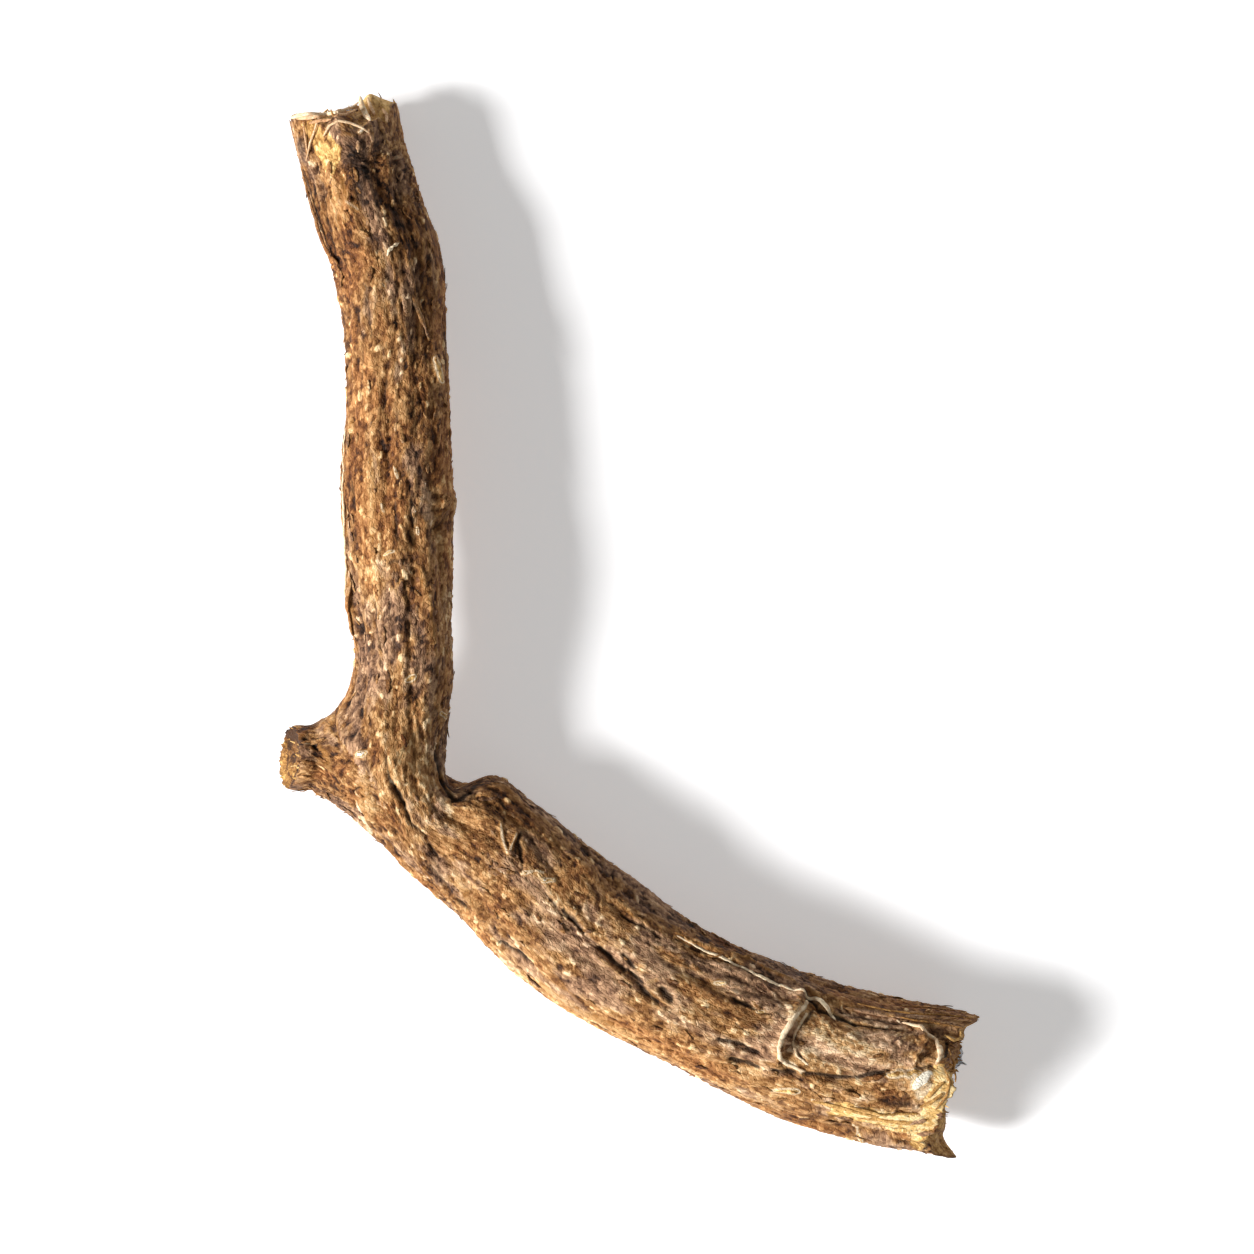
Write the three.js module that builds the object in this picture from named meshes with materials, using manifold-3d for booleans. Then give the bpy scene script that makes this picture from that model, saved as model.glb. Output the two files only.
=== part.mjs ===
// A forked piece of dried black cohosh root, lying on its underside.
// Millimetres, +Z up, seen from above with the thin upper limb towards +Y.
// Two tubes make it: the thick limb, which runs from a broken stub through the knuckle to a torn
// end, and the thin limb, which grows out of the knuckle. Each is a lathed blank laid along a
// curve, swollen where the two grow together, then furrowed, ridged and torn like the real bark.

import * as THREE from "three";
import { mergeVertices } from "three/addons/utils/BufferGeometryUtils.js";
import Module from "manifold-3d";

// Driving dimensions
const THICK_LIMB = 4.0; // across the lower limb
const THIN_LIMB = 2.9; // across the upper limb
const BARK = 0.13; // thickness of bark and cortex that has flaked off the bare places
const FURROW = 0.17; // depth of the shrinkage furrows
const SEAM_GAP = 0.3; // space kept between the solids where the fork is split
const UPPER_CUT_Y = -1.3; // the upper limb starts above this line
const STUB_CUT_X = -8.35; // the stub starts left of this line
const CENTRE = new THREE.Vector3(-0.318, -0.011, 0); // middle of the footprint in the paths' numbers

// Paths as rows of x, y, z and the share of the limb's thickness there
const THICK_PATH = [
  [-9.62, -3.62, 2.0, 0.435],
  [-8.55, -3.72, 2.02, 0.49],
  [-7.1, -4.2, 2.05, 0.665],
  [-5.54, -5.28, 1.86, 0.81],
  [-3.65, -6.6, 1.72, 0.985],
  [-1.4, -8.62, 1.92, 1.0],
  [1.55, -10.36, 2.18, 0.98],
  [5.1, -11.83, 2.08, 0.995],
  [8.95, -12.67, 1.78, 1.045],
];
const THIN_PATH = [
  [-8.28, 14.54, 1.3, 1.07],
  [-7.59, 11.76, 1.62, 1.06],
  [-6.99, 10.18, 1.84, 1.045],
  [-6.74, 8.4, 2.0, 1.012],
  [-6.62, 5.98, 2.16, 1.023],
  [-6.58, 3.36, 2.3, 1.063],
  [-6.49, 1.05, 2.36, 1.016],
  [-6.42, -0.9, 2.4, 0.972],
  [-6.46, -2.6, 2.43, 0.905],
  [-6.3, -4.1, 2.44, 0.84],
  [-5.85, -5.5, 2.36, 0.74],
  [-5.1, -6.75, 2.1, 0.58],
  [-4.35, -7.7, 1.85, 0.36],
];

// How the limbs grow together
const WEB_REACH = 2.2; // blend on the stub's side, a smooth web
const CROTCH_REACH = 0.36; // blend in the crotch, a sharp crease
const WEB_LATERAL = [-1.0, 0.7]; // the blend widens across the thin limb between these offsets,
const WEB_FADE = [18.3, 20.3]; // and narrows again along it, where the limb is buried
const TUCK = 0.03; // past the seam each tube first slips just under the other,
const TUCK_SPAN = [0, 0.1];
const SINK = 0.8; // then dives under it, where its own distance exceeds the other's by these spans
const SINK_SPAN = [0.3, 0.8];
const SHARE_WIDTH = 0.45; // half width of the strip where the two barks merge

// Mesh of the blanks
const COLUMNS_PER_FURROW = 4;
const THICK_FURROWS = 10;
const THIN_FURROWS = 8;
const THICK_RING = 0.44; // spacing of the rings along the thick limb
const THIN_RING = 0.4;
const FACE_RINGS = [0, 0.24, 0.45, 0.66, 0.86]; // shares of the radius that carry rings on an end face
const STATIONS = 220; // samples of each path used to find the nearest point
const PULL_IN = 0.2; // least share of the radius that a buried ring keeps
const HALVINGS = 20; // steps of the search for the surface along a ray
const MERGE = 1e-5; // corners closer than this are one

const UP = new THREE.Vector3(0, 0, 1);
const DEGREE = Math.PI / 180;
const { clamp, euclideanModulo, lerp, smoothstep } = THREE.MathUtils;

// A hump of height 1 that falls off on both sides of zero
const hump = (distance, width) => Math.exp(-((distance / width) ** 2));

// Shortest turn from one angle to another, in degrees
const turn = (from, to) => euclideanModulo(to - from + 180, 360) - 180;

// 1 between two limits, falling to 0 over an edge outside each of them
function between(value, low, high, edge) {
  return smoothstep(value, low - edge, low) * (1 - smoothstep(value, high, high + edge));
}

// Lumps and hollows, each a hump along and around the limb. A sway bends a mark that goes round.
function marks(list, along, around) {
  let height = 0;
  for (const { along: place, around: facing, length, spread, height: rise, sway = 0 } of list) {
    const past = along - place - sway * Math.sin(3 * around * DEGREE + place);
    height += rise * hump(past, length) * hump(turn(facing, around), spread);
  }
  return height;
}

// Furrows that run with the grain: sharp valleys between rounded ridges, each with its own
// strength, which comes and goes along the limb
function furrows(along, around, count, twist) {
  const phase = (count / 2) * (around * DEGREE + twist);
  const valley = (1 - Math.abs(Math.sin(phase))) ** 2;
  const which = euclideanModulo(Math.round(phase / Math.PI), count);
  const strength = 0.5 + 0.5 * Math.sin(2.4 * which + 0.8 * along);
  return -FURROW * (1.05 - 0.45 * Math.cos(around * DEGREE)) * strength * valley;
}

// A line across the bark where an outer plate ends: a curled rim, then a drop to the bark below,
// which climbs back over a few millimetres
function plateEdge(past, rim, drop, recovery) {
  const step = smoothstep(past, 0, 0.16) * (1 - smoothstep(past, recovery * 0.4, recovery));
  return rim * hump(past, 0.2) - drop * step;
}

// Thick limb

const thickTwist = (along) => 0.2 * Math.sin(0.4 * along + 0.5) + 0.05 * Math.sin(1.3 * along);

const THICK_MARKS = [
  { along: 5.35, around: -80, length: 0.7, spread: 34, height: 0.22 }, // shoulder by the crotch
  { along: 4.25, around: -86, length: 0.5, spread: 36, height: -0.85 }, // notch in the crotch
  { along: 7.3, around: -82, length: 1.3, spread: 36, height: -0.14 }, // waist behind the shoulder
  { along: 4.9, around: -16, length: 0.7, spread: 9, height: -0.16 }, // crease out of the crotch
  { along: 3.5, around: 8, length: 0.6, spread: 8, height: -0.1 }, // crack on the knuckle
  { along: 6.2, around: -21, length: 0.3, spread: 9, height: -0.13 }, // scar of a lost rootlet
  { along: 6.7, around: -12, length: 0.22, spread: 13, height: 0.08 }, // lip below that scar
  { along: 6.6, around: 57, length: 0.5, spread: 7, height: -0.11 }, // cracks on the outer side
  { along: 8.7, around: 51, length: 0.6, spread: 7, height: -0.11 },
  { along: 10.6, around: -3, length: 1.9, spread: 7, height: -0.13 }, // broken line of cracks
  { along: 15.0, around: 26, length: 0.5, spread: 8, height: -0.13 }, // short low crack
  { along: 13.8, around: -60, length: 1.9, spread: 7, height: 0.09 }, // pale ridge on the inside
  { along: 2.7, around: 30, length: 0.6, spread: 22, height: 0.08 }, // swelling by the stub
  { along: 5.2, around: 62, length: 0.7, spread: 22, height: -0.06 }, // hollow on the knuckle
  { along: 8.4, around: -48, length: 0.7, spread: 16, height: 0.09 }, // lump on the inner side
  { along: 9.9, around: 34, length: 0.8, spread: 14, height: 0.06 }, // lump on the outer side
  { along: 12.9, around: 24, length: 0.9, spread: 15, height: 0.06 }, // lump before the plate
  { along: 17.7, around: -18, length: 1.2, spread: 14, height: 0.07 }, // tongue of bark below it
  { along: 9.6, around: 150, length: 0.5, spread: 20, height: 0.16 }, // rootlet base underneath
  { along: 13.4, around: -140, length: 0.5, spread: 18, height: 0.15 }, // rootlet base behind
  { along: 18.2, around: 125, length: 0.45, spread: 18, height: 0.13 }, // rootlet base near the end
  { along: 0.55, around: 0, length: 0.2, spread: 130, height: -0.12 }, // neck behind the stub's scar
];

function thickRelief(along, around) {
  const angle = around * DEGREE;
  const oval = -0.1 * Math.cos(angle) ** 2;
  const flutes = 0.06 * Math.cos(3 * angle + 0.3 * along + 1.0) + 0.04 * Math.sin(2 * angle + 0.8 * along + 3.4);
  const grain = furrows(along, around, THICK_FURROWS, thickTwist(along));
  const firstEdge = along - 15.7 - 0.0001 * turn(-15, around) ** 2;
  const firstPlate = plateEdge(firstEdge, 0.1, 0.13, 3.6) * between(around, -56, 10, 10);
  const secondEdge = along - 20.15 + 0.0014 * turn(-32, around) ** 2;
  const secondPlate = plateEdge(secondEdge, 0.09, 0.12, 6) * between(around, -48, -18, 8);
  const bareLow = 57 - 13 * (along - 17.1); // the bare wood is a band that slants over the side
  const bareHigh = 70 - 6 * (along - 17.4);
  const bareBand = smoothstep(around, bareLow - 6, bareLow + 3) * (1 - smoothstep(around, bareHigh, bareHigh + 9));
  const bare = -BARK * smoothstep(along, 16.8, 17.4) * bareBand;
  const girth = smoothstep(along, 0, 4); // the stub is slim, so its relief is lower
  return (oval + flutes) * girth + grain * lerp(0.6, 1, girth) + firstPlate + secondPlate + bare
    + marks(THICK_MARKS, along, around);
}

// The end face of the torn lower end: how far it stands out, by share of the radius and angle
function tornEnd(share, around) {
  const angle = around * DEGREE;
  const slope = -0.42 * Math.cos(angle) * share;
  const jags = (0.13 * Math.sin(4 * angle + 0.6) + 0.09 * Math.sin(9 * angle + 2)) * share ** 3;
  const tips = (0.62 * hump(turn(97, around), 18) + 0.27 * hump(turn(-84, around), 18)) * share ** 2;
  return slope + jags + tips - 0.16 * hump(share - 0.8, 0.14) - 0.4;
}

// The broken stub ends in a tilted cup-shaped scar
function scarEnd(share, around) {
  return -0.38 * Math.cos(around * DEGREE) * share - 0.2 * (1 - share ** 2);
}

// Thin limb

const thinTwist = (along) => 0.22 * Math.sin(0.36 * along + 2.0) + 0.05 * Math.sin(1.5 * along);

const THIN_MARKS = [
  { along: 1.0, around: 66, length: 0.9, spread: 22, height: 0.1 }, // splayed bark at the torn end
  { along: 2.6, around: 54, length: 1.1, spread: 7, height: -0.13 }, // slit behind it
  { along: 2.4, around: -24, length: 1.4, spread: 9, height: -0.17 }, // long furrow from the end
  { along: 2.6, around: -52, length: 1.6, spread: 10, height: -0.13 }, // second long furrow
  { along: 7.9, around: -52, length: 0.4, spread: 16, height: 0.1 }, // small bump
  { along: 11.5, around: -86, length: 0.4, spread: 24, height: 0.1 }, // bump on the inner edge
  { along: 12.35, around: -21, length: 0.4, spread: 9, height: -0.14 }, // scar pit
  { along: 12.85, around: 20, length: 0.2, spread: 60, height: 0.04, sway: 0.12 }, // cross wrinkle
  { along: 13.15, around: 15, length: 0.2, spread: 60, height: -0.04, sway: 0.12 },
  { along: 14.7, around: -15, length: 1.4, spread: 8, height: -0.18 }, // deep groove
  { along: 14.7, around: -34, length: 1.6, spread: 9, height: 0.1 }, // ridge beside the groove
  { along: 14.1, around: 68, length: 1.1, spread: 9, height: 0.1 }, // splinter along the edge
  { along: 14.9, around: 54, length: 0.4, spread: 6, height: -0.1 }, // slit beside it
  { along: 5.2, around: 78, length: 1.2, spread: 9, height: 0.08 }, // strip of bark lifting
  { along: 9.3, around: 28, length: 0.8, spread: 20, height: 0.06 }, // low lump
  { along: 10.9, around: -40, length: 0.7, spread: 18, height: -0.05 }, // low hollow
  { along: 16.6, around: 35, length: 0.8, spread: 18, height: 0.05 }, // lump above the knuckle
  { along: 18.2, around: -78, length: 0.8, spread: 40, height: -0.2 }, // waist above the crotch
  { along: 9.4, around: 165, length: 0.45, spread: 22, height: 0.13 }, // rootlet base underneath
  { along: 5.8, around: -140, length: 0.4, spread: 22, height: 0.12 }, // rootlet base behind
];

function thinRelief(along, around) {
  const angle = around * DEGREE;
  const oval = -0.07 * Math.cos(angle) ** 2;
  const flutes = 0.05 * Math.cos(3 * angle - 0.35 * along) + 0.03 * Math.sin(2 * angle + 0.9 * along + 1);
  const grain = 0.85 * furrows(along, around, THIN_FURROWS, thinTwist(along));
  const bareEnd = 3.7 - 0.03 * Math.abs(turn(32, around));
  const bare = -BARK * 0.8 * (1 - smoothstep(along, bareEnd - 0.5, bareEnd)) * between(around, 14, 48, 6);
  return oval + flutes + grain + bare + marks(THIN_MARKS, along, around);
}

// The torn upper end slants back towards the top. Lumps of wood and a hole stand on it, placed by
// how far left and how far up they are, as shares of the radius.
const END_LUMPS = [
  { left: 0.85, up: 0.3, width: 0.42, height: 0.68 }, // lobe of bark on the left
  { left: -0.55, up: 0.1, width: 0.34, height: 0.65 }, // tall splinter on the right
  { left: 0.25, up: -0.6, width: 0.4, height: 0.36 }, // knob at the bottom
  { left: 0.05, up: 0.5, width: 0.3, height: 0.5 }, // curl behind the top edge
  { left: 0.3, up: 0.12, width: 0.22, height: -0.4 }, // hole
];

function brokenEnd(share, around) {
  const angle = around * DEGREE;
  const left = share * Math.sin(angle);
  const up = share * Math.cos(angle);
  let height = -0.6 - 0.62 * up + 0.1 * Math.sin(8 * angle) * share ** 3;
  for (const lump of END_LUMPS) {
    height += lump.height * hump(Math.hypot(left - lump.left, up - lump.up), lump.width);
  }
  return height;
}

// A buried end needs no shape of its own
const plainEnd = () => 0;

// A limb is a curve with a thickness, and a frame of side and top directions at each point
class Limb {
  constructor(rows, thickness, relief, twist, ends) {
    const points = rows.map(([x, y, z]) => new THREE.Vector3(x, y, z));
    const radii = rows.map((row) => new THREE.Vector3((row[3] * thickness) / 2, 0, 0));
    this.curve = new THREE.CatmullRomCurve3(points, false, "catmullrom");
    this.girth = new THREE.CatmullRomCurve3(radii, false, "catmullrom");
    this.curve.arcLengthDivisions = 600;
    this.length = this.curve.getLength();
    this.relief = relief;
    this.twist = twist;
    this.ends = ends;
    this.stations = [];
    for (let i = 0; i <= STATIONS; i += 1) {
      this.stations.push(this.station((this.length * i) / STATIONS));
    }
  }

  station(along) {
    const t = this.curve.getUtoTmapping(clamp(along / this.length, 0, 1));
    const tangent = this.curve.getTangent(t);
    const side = new THREE.Vector3().crossVectors(tangent, UP).normalize();
    const top = new THREE.Vector3().crossVectors(side, tangent);
    return { along, point: this.curve.getPoint(t), tangent, side, top, radius: this.girth.getPoint(t).x };
  }

  // Where a point lies beside the limb: along it, around it, and how far off its smooth tube
  locate(point) {
    let best = this.stations[0];
    let least = Infinity;
    for (const station of this.stations) {
      const squared = station.point.distanceToSquared(point);
      if (squared < least) {
        least = squared;
        best = station;
      }
    }
    const offset = point.clone().sub(best.point);
    const lateral = offset.dot(best.side);
    const around = Math.atan2(lateral, offset.dot(best.top)) / DEGREE;
    const along = best.along + offset.dot(best.tangent);
    return { along, around, lateral, gap: Math.sqrt(least) - best.radius, outward: offset.normalize() };
  }
}

const thick = new Limb(THICK_PATH, THICK_LIMB, thickRelief, thickTwist, [scarEnd, tornEnd]);
const thin = new Limb(THIN_PATH, THIN_LIMB, thinRelief, thinTwist, [brokenEnd, plainEnd]);

// Smooth minimum of two distances, which fills the corner between them
function blend(a, b, reach) {
  const overlap = Math.max(reach - Math.abs(a - b), 0) / reach;
  return Math.min(a, b) - (overlap * overlap * reach) / 4;
}

// The radius at which a ray from a limb's centre leaves the two tubes grown together. Past the
// seam the ray stops short, so that this limb's skin dives under the other's.
function grownRadius(station, direction, other) {
  let low = station.radius * PULL_IN;
  let high = station.radius + WEB_REACH / 4;
  for (let step = 0; step < HALVINGS; step += 1) {
    const radius = (low + high) / 2;
    const point = station.point.clone().addScaledVector(direction, radius);
    const own = radius - station.radius;
    const far = other.locate(point).gap;
    const { lateral, along } = thin.locate(point);
    const web = smoothstep(lateral, ...WEB_LATERAL) * (1 - smoothstep(along, ...WEB_FADE));
    const reach = lerp(CROTCH_REACH, WEB_REACH, web);
    const past = own - far;
    const under = TUCK * smoothstep(past, ...TUCK_SPAN) + SINK * smoothstep(past, ...SINK_SPAN);
    const field = blend(own, far, reach) + under;
    if (field > 0) {
      high = radius;
    } else {
      low = radius;
    }
  }
  return low;
}

// A point of the bark, from how far along and around the limb it lies
function barkPoint(limb, other, along, around) {
  const station = limb.station(along);
  const angle = around * DEGREE;
  const direction = station.side.clone().multiplyScalar(Math.sin(angle));
  direction.addScaledVector(station.top, Math.cos(angle));
  const radius = grownRadius(station, direction, other);
  const point = station.point.clone().addScaledVector(direction, radius);
  const there = other.locate(point);
  const share = smoothstep(there.gap - (radius - station.radius), -SHARE_WIDTH, SHARE_WIDTH);
  const height = lerp(other.relief(there.along, there.around), limb.relief(along, around), share);
  const outward = there.outward.lerp(direction, share).normalize();
  return { station, point: point.addScaledVector(outward, height) };
}

// The blank is a lathed rod: radius 1 on its side, smaller on its end faces, height along the limb
function lathedBlank(limb, furrowCount, ringSpacing, extraRings) {
  const rings = Math.round(limb.length / ringSpacing);
  const heights = extraRings.slice();
  for (let i = 0; i <= rings; i += 1) {
    heights.push((limb.length * i) / rings);
  }
  heights.sort((a, b) => a - b);
  const profile = FACE_RINGS.map((share) => new THREE.Vector2(share, 0));
  for (const height of heights) {
    profile.push(new THREE.Vector2(1, height));
  }
  for (const share of FACE_RINGS.slice().reverse()) {
    profile.push(new THREE.Vector2(share, limb.length));
  }
  const blank = new THREE.LatheGeometry(profile, furrowCount * COLUMNS_PER_FURROW);
  blank.deleteAttribute("normal");
  blank.deleteAttribute("uv");
  return mergeVertices(blank, MERGE);
}

// Lays a blank along its limb. The end faces follow their own relief, and the last stretch of the
// side leans with them. What would reach below the resting surface is pressed flat on it.
const END_LEAN = 2.8;

function layAlong(blank, limb, other) {
  const positions = blank.getAttribute("position");
  for (let i = 0; i < positions.count; i += 1) {
    const share = Math.min(Math.hypot(positions.getX(i), positions.getZ(i)), 1);
    const along = clamp(positions.getY(i), 0, limb.length);
    const column = Math.atan2(positions.getX(i), positions.getZ(i)) - limb.twist(along);
    const around = turn(0, column / DEGREE);
    const { station, point } = barkPoint(limb, other, along, around);
    point.sub(station.point).multiplyScalar(share).add(station.point);
    const [startFace, endFace] = limb.ends;
    const lean = -startFace(share, around) * (1 - smoothstep(along, 0, END_LEAN))
      + endFace(share, around) * smoothstep(along, limb.length - END_LEAN, limb.length);
    point.addScaledVector(station.tangent, lean);
    positions.setXYZ(i, point.x, point.y, Math.max(point.z, 0));
  }
  return blank;
}

// Closed solids for joining and cutting

const wasm = await Module();
wasm.setup();

function solidOf(geometry) {
  const triangles = [];
  const index = geometry.index.array;
  for (let i = 0; i < index.length; i += 3) {
    const [a, b, c] = index.subarray(i, i + 3);
    if (a !== b && b !== c && c !== a) {
      triangles.push(a, b, c);
    }
  }
  return new wasm.Manifold(new wasm.Mesh({
    numProp: 3,
    vertProperties: new Float32Array(geometry.getAttribute("position").array),
    triVerts: new Uint32Array(triangles),
  }));
}

function geometryOf(solid) {
  const mesh = solid.getMesh();
  const geometry = new THREE.BufferGeometry();
  geometry.setAttribute("position", new THREE.BufferAttribute(new Float32Array(mesh.vertProperties), 3));
  geometry.setIndex(new THREE.BufferAttribute(new Uint32Array(mesh.triVerts), 1));
  return geometry;
}

// A box that holds everything on one side of a plane across the fork
const CUTTER = 80;

function cutter(x, y) {
  const geometry = new THREE.BoxGeometry(CUTTER, CUTTER, CUTTER);
  geometry.translate(x, y, 0);
  geometry.deleteAttribute("normal");
  geometry.deleteAttribute("uv");
  return solidOf(mergeVertices(geometry, MERGE));
}

const half = (CUTTER + SEAM_GAP) / 2;
const thickBlank = lathedBlank(thick, THICK_FURROWS, THICK_RING, [0.6, 15.7, 15.84]);
const thinBlank = lathedBlank(thin, THIN_FURROWS, THIN_RING, [12.85, 13.2]);
const grown = solidOf(layAlong(thickBlank, thick, thin)).add(solidOf(layAlong(thinBlank, thin, thick)));
const belowUpper = grown.intersect(cutter(0, UPPER_CUT_Y - half));

const root = new THREE.Group();
root.position.copy(CENTRE).negate();

function addPiece(name, solid, colour, roughness) {
  const material = new THREE.MeshStandardMaterial({ color: colour, roughness, metalness: 0 });
  const piece = new THREE.Mesh(geometryOf(solid), material);
  piece.name = name;
  root.add(piece);
}

addPiece("upper_root", grown.intersect(cutter(0, UPPER_CUT_Y + half)), 0x6f533b, 0.85);
addPiece("lower_root", belowUpper.intersect(cutter(STUB_CUT_X + half, 0)), 0x7a5a40, 0.85);
addPiece("broken_stub", belowUpper.intersect(cutter(STUB_CUT_X - half, 0)), 0x8a6b4c, 0.9);

export default root;
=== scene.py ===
"""A forked piece of dried black cohosh root, lying on its underside, seen from straight above.

Two bark skins are worked out with numpy: one for the thick limb with its broken stub, one for the
thin limb that grows out of the knuckle. Each follows a curve, swells where the limbs have grown
together, and carries furrows, wrinkles, flakes, cracks and torn ends. Small chips, slivers and
fibres are separate meshes. Lengths are in millimetres until a mesh is made, which is in metres.
"""

import bpy
import numpy as np
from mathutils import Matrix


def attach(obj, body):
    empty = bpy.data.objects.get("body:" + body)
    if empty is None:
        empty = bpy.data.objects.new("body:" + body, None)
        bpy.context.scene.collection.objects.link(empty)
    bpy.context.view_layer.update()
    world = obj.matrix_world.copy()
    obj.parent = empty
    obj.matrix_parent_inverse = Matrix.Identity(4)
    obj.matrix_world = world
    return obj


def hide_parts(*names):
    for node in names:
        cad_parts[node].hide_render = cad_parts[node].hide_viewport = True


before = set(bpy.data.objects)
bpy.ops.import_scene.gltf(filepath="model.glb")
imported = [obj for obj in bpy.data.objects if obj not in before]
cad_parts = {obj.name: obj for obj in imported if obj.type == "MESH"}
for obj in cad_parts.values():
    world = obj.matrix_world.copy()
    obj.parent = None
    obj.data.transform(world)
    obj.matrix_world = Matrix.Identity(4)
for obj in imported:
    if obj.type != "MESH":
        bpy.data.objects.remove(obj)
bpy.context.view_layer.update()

MM = 0.001
CENTRE = np.array([-0.318, -0.011, 0.0])  # middle of the footprint in the paths' numbers


# Camera, straight above the root, with the thin limb towards the top of the picture
CAMERA_LENS = 90.0
CAMERA_SENSOR = 36.0
CAMERA_HEIGHT = 0.0885


def make_camera():
    """A camera that looks straight down at the middle of the footprint."""
    data = bpy.data.cameras.new("camera")
    data.lens = CAMERA_LENS
    data.sensor_width = CAMERA_SENSOR
    data.clip_start = 0.002
    data.clip_end = 5.0
    camera = bpy.data.objects.new("camera", data)
    camera.location = (0.0, 0.0, CAMERA_HEIGHT)
    bpy.context.collection.objects.link(camera)
    bpy.context.scene.camera = camera


make_camera()

# Driving dimensions of the limbs, the same as in the solids
THICK_LIMB = 4.0  # across the lower limb
THIN_LIMB = 2.9  # across the upper limb
BARK = 0.13  # thickness of bark that has flaked off the bare places
FURROW = 0.17  # depth of the shrinkage furrows
THICK_FURROWS = 10
THIN_FURROWS = 8
WEB_REACH = 2.2  # blend on the stub's side of the fork, a smooth web
CROTCH_REACH = 0.36  # blend in the crotch, a sharp crease
WEB_LATERAL = (-1.0, 0.7)
WEB_FADE = (18.3, 20.3)
TUCK = 0.03  # past the seam each skin slips just under the other,
TUCK_SPAN = (0.0, 0.1)
SINK = 0.8  # and then dives under it
SINK_SPAN = (0.3, 0.8)
SHARE_WIDTH = 0.45  # half width of the strip where the two barks merge
GRAIN_SHARE = 1.1  # half width of the strip where the fine grain of the two limbs merges
PULL_IN = 0.2  # least share of the radius that a buried ring keeps
HALVINGS = 15  # steps of the search for the surface along a ray
END_LEAN = 2.8  # length of side that leans with a torn end
STATIONS = 420  # places along a centre line where the nearest one is looked for
GRAIN_OFFSET = 16.5  # the thin limb's length where its grain meets the thick limb's zero

# Rows of x, y, z and the share of the limb's thickness there
THICK_PATH = np.array([
    [-9.62, -3.62, 2.0, 0.435],
    [-8.55, -3.72, 2.02, 0.49],
    [-7.1, -4.2, 2.05, 0.665],
    [-5.54, -5.28, 1.86, 0.81],
    [-3.65, -6.6, 1.72, 0.985],
    [-1.4, -8.62, 1.92, 1.0],
    [1.55, -10.36, 2.18, 0.98],
    [5.1, -11.83, 2.08, 0.995],
    [8.95, -12.67, 1.78, 1.045],
])
THIN_PATH = np.array([
    [-8.28, 14.54, 1.3, 1.07],
    [-7.59, 11.76, 1.62, 1.06],
    [-6.99, 10.18, 1.84, 1.045],
    [-6.74, 8.4, 2.0, 1.012],
    [-6.62, 5.98, 2.16, 1.023],
    [-6.58, 3.36, 2.3, 1.063],
    [-6.49, 1.05, 2.36, 1.016],
    [-6.42, -0.9, 2.4, 0.972],
    [-6.46, -2.6, 2.43, 0.905],
    [-6.3, -4.1, 2.44, 0.84],
    [-5.85, -5.5, 2.36, 0.74],
    [-5.1, -6.75, 2.1, 0.58],
    [-4.35, -7.7, 1.85, 0.36],
])


# Plain maths


def ramp(value, low, high):
    """0 below low, 1 above high, and the smooth cubic 3t^2 - 2t^3 between them."""
    t = np.clip((value - low) / (high - low), 0.0, 1.0)
    return t * t * (3.0 - 2.0 * t)


def hump(distance, width):
    """A bell of height 1: e to the power of minus distance over width, squared."""
    return np.exp(-((distance / width) ** 2))


def turn(start, end):
    """Shortest turn from one angle to another, in degrees, from -180 to 180."""
    return np.mod(end - start + 180.0, 360.0) - 180.0


def between(value, low, high, edge):
    """1 between two limits, falling to 0 over an edge outside each of them."""
    return ramp(value, low - edge, low) * (1.0 - ramp(value, high, high + edge))


def mix(a, b, share):
    """a where share is 0, b where it is 1."""
    return a + (b - a) * share


def unit(vectors):
    """Vectors scaled to length 1."""
    return vectors / np.maximum(np.linalg.norm(vectors, axis=-1, keepdims=True), 1e-9)


def lattice_noise(points, seed):
    """Smooth noise from about -1 to 1: slopes set at whole-number points and blended between them."""
    rng = np.random.default_rng(seed)
    table = np.tile(rng.permutation(256), 3)
    slopes = unit(rng.normal(size=(256, 3)))
    cell = np.floor(points).astype(int)
    inside = points - cell
    fade = inside ** 3 * (inside * (inside * 6.0 - 15.0) + 10.0)
    cell = cell & 255
    total = np.zeros(points.shape[:-1])
    for corner in np.ndindex(2, 2, 2):
        steps = np.array(corner)
        x, y, z = ((cell[..., k] + steps[k]) & 255 for k in range(3))
        slope = slopes[table[table[table[x] + y] + z]]
        weight = np.prod(np.where(steps, fade, 1.0 - fade), axis=-1)
        total += weight * np.sum(slope * (inside - steps), axis=-1)
    return total * 1.6


def layered_noise(points, seed):
    """Noise with a second layer at twice the pitch and half the height."""
    return (lattice_noise(points, seed) + lattice_noise(points * 2.0, seed + 1) / 2.0) / 1.4


def cell_pattern(points, seed):
    """Cells round scattered points: distance to the nearest point, how much further the second
    nearest is, the nearest cell's own number from 0 to 1, and the way to its point."""
    rng = np.random.default_rng(seed)
    table = np.tile(rng.permutation(256), 3)
    places = rng.random((256, 3))
    numbers = rng.random(256)
    cell = np.floor(points).astype(int)
    nearest = np.full(points.shape[:-1], 9.0)
    second = np.full(points.shape[:-1], 9.0)
    number = np.zeros(points.shape[:-1])
    way = np.zeros(points.shape)
    for step in np.ndindex(3, 3, 3):
        there = cell + np.array(step) - 1
        x, y, z = (there[..., k] & 255 for k in range(3))
        which = table[table[table[x] + y] + z]
        offset = there + places[which] - points
        distance = np.linalg.norm(offset, axis=-1)
        closer = distance < nearest
        second = np.where(closer, nearest, np.minimum(second, distance))
        number = np.where(closer, numbers[which], number)
        way = np.where(closer[..., None], offset, way)
        nearest = np.minimum(nearest, distance)
    return nearest, second - nearest, number, way


# Relief that the solids have too: furrows, lumps and the edges of bark plates


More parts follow.
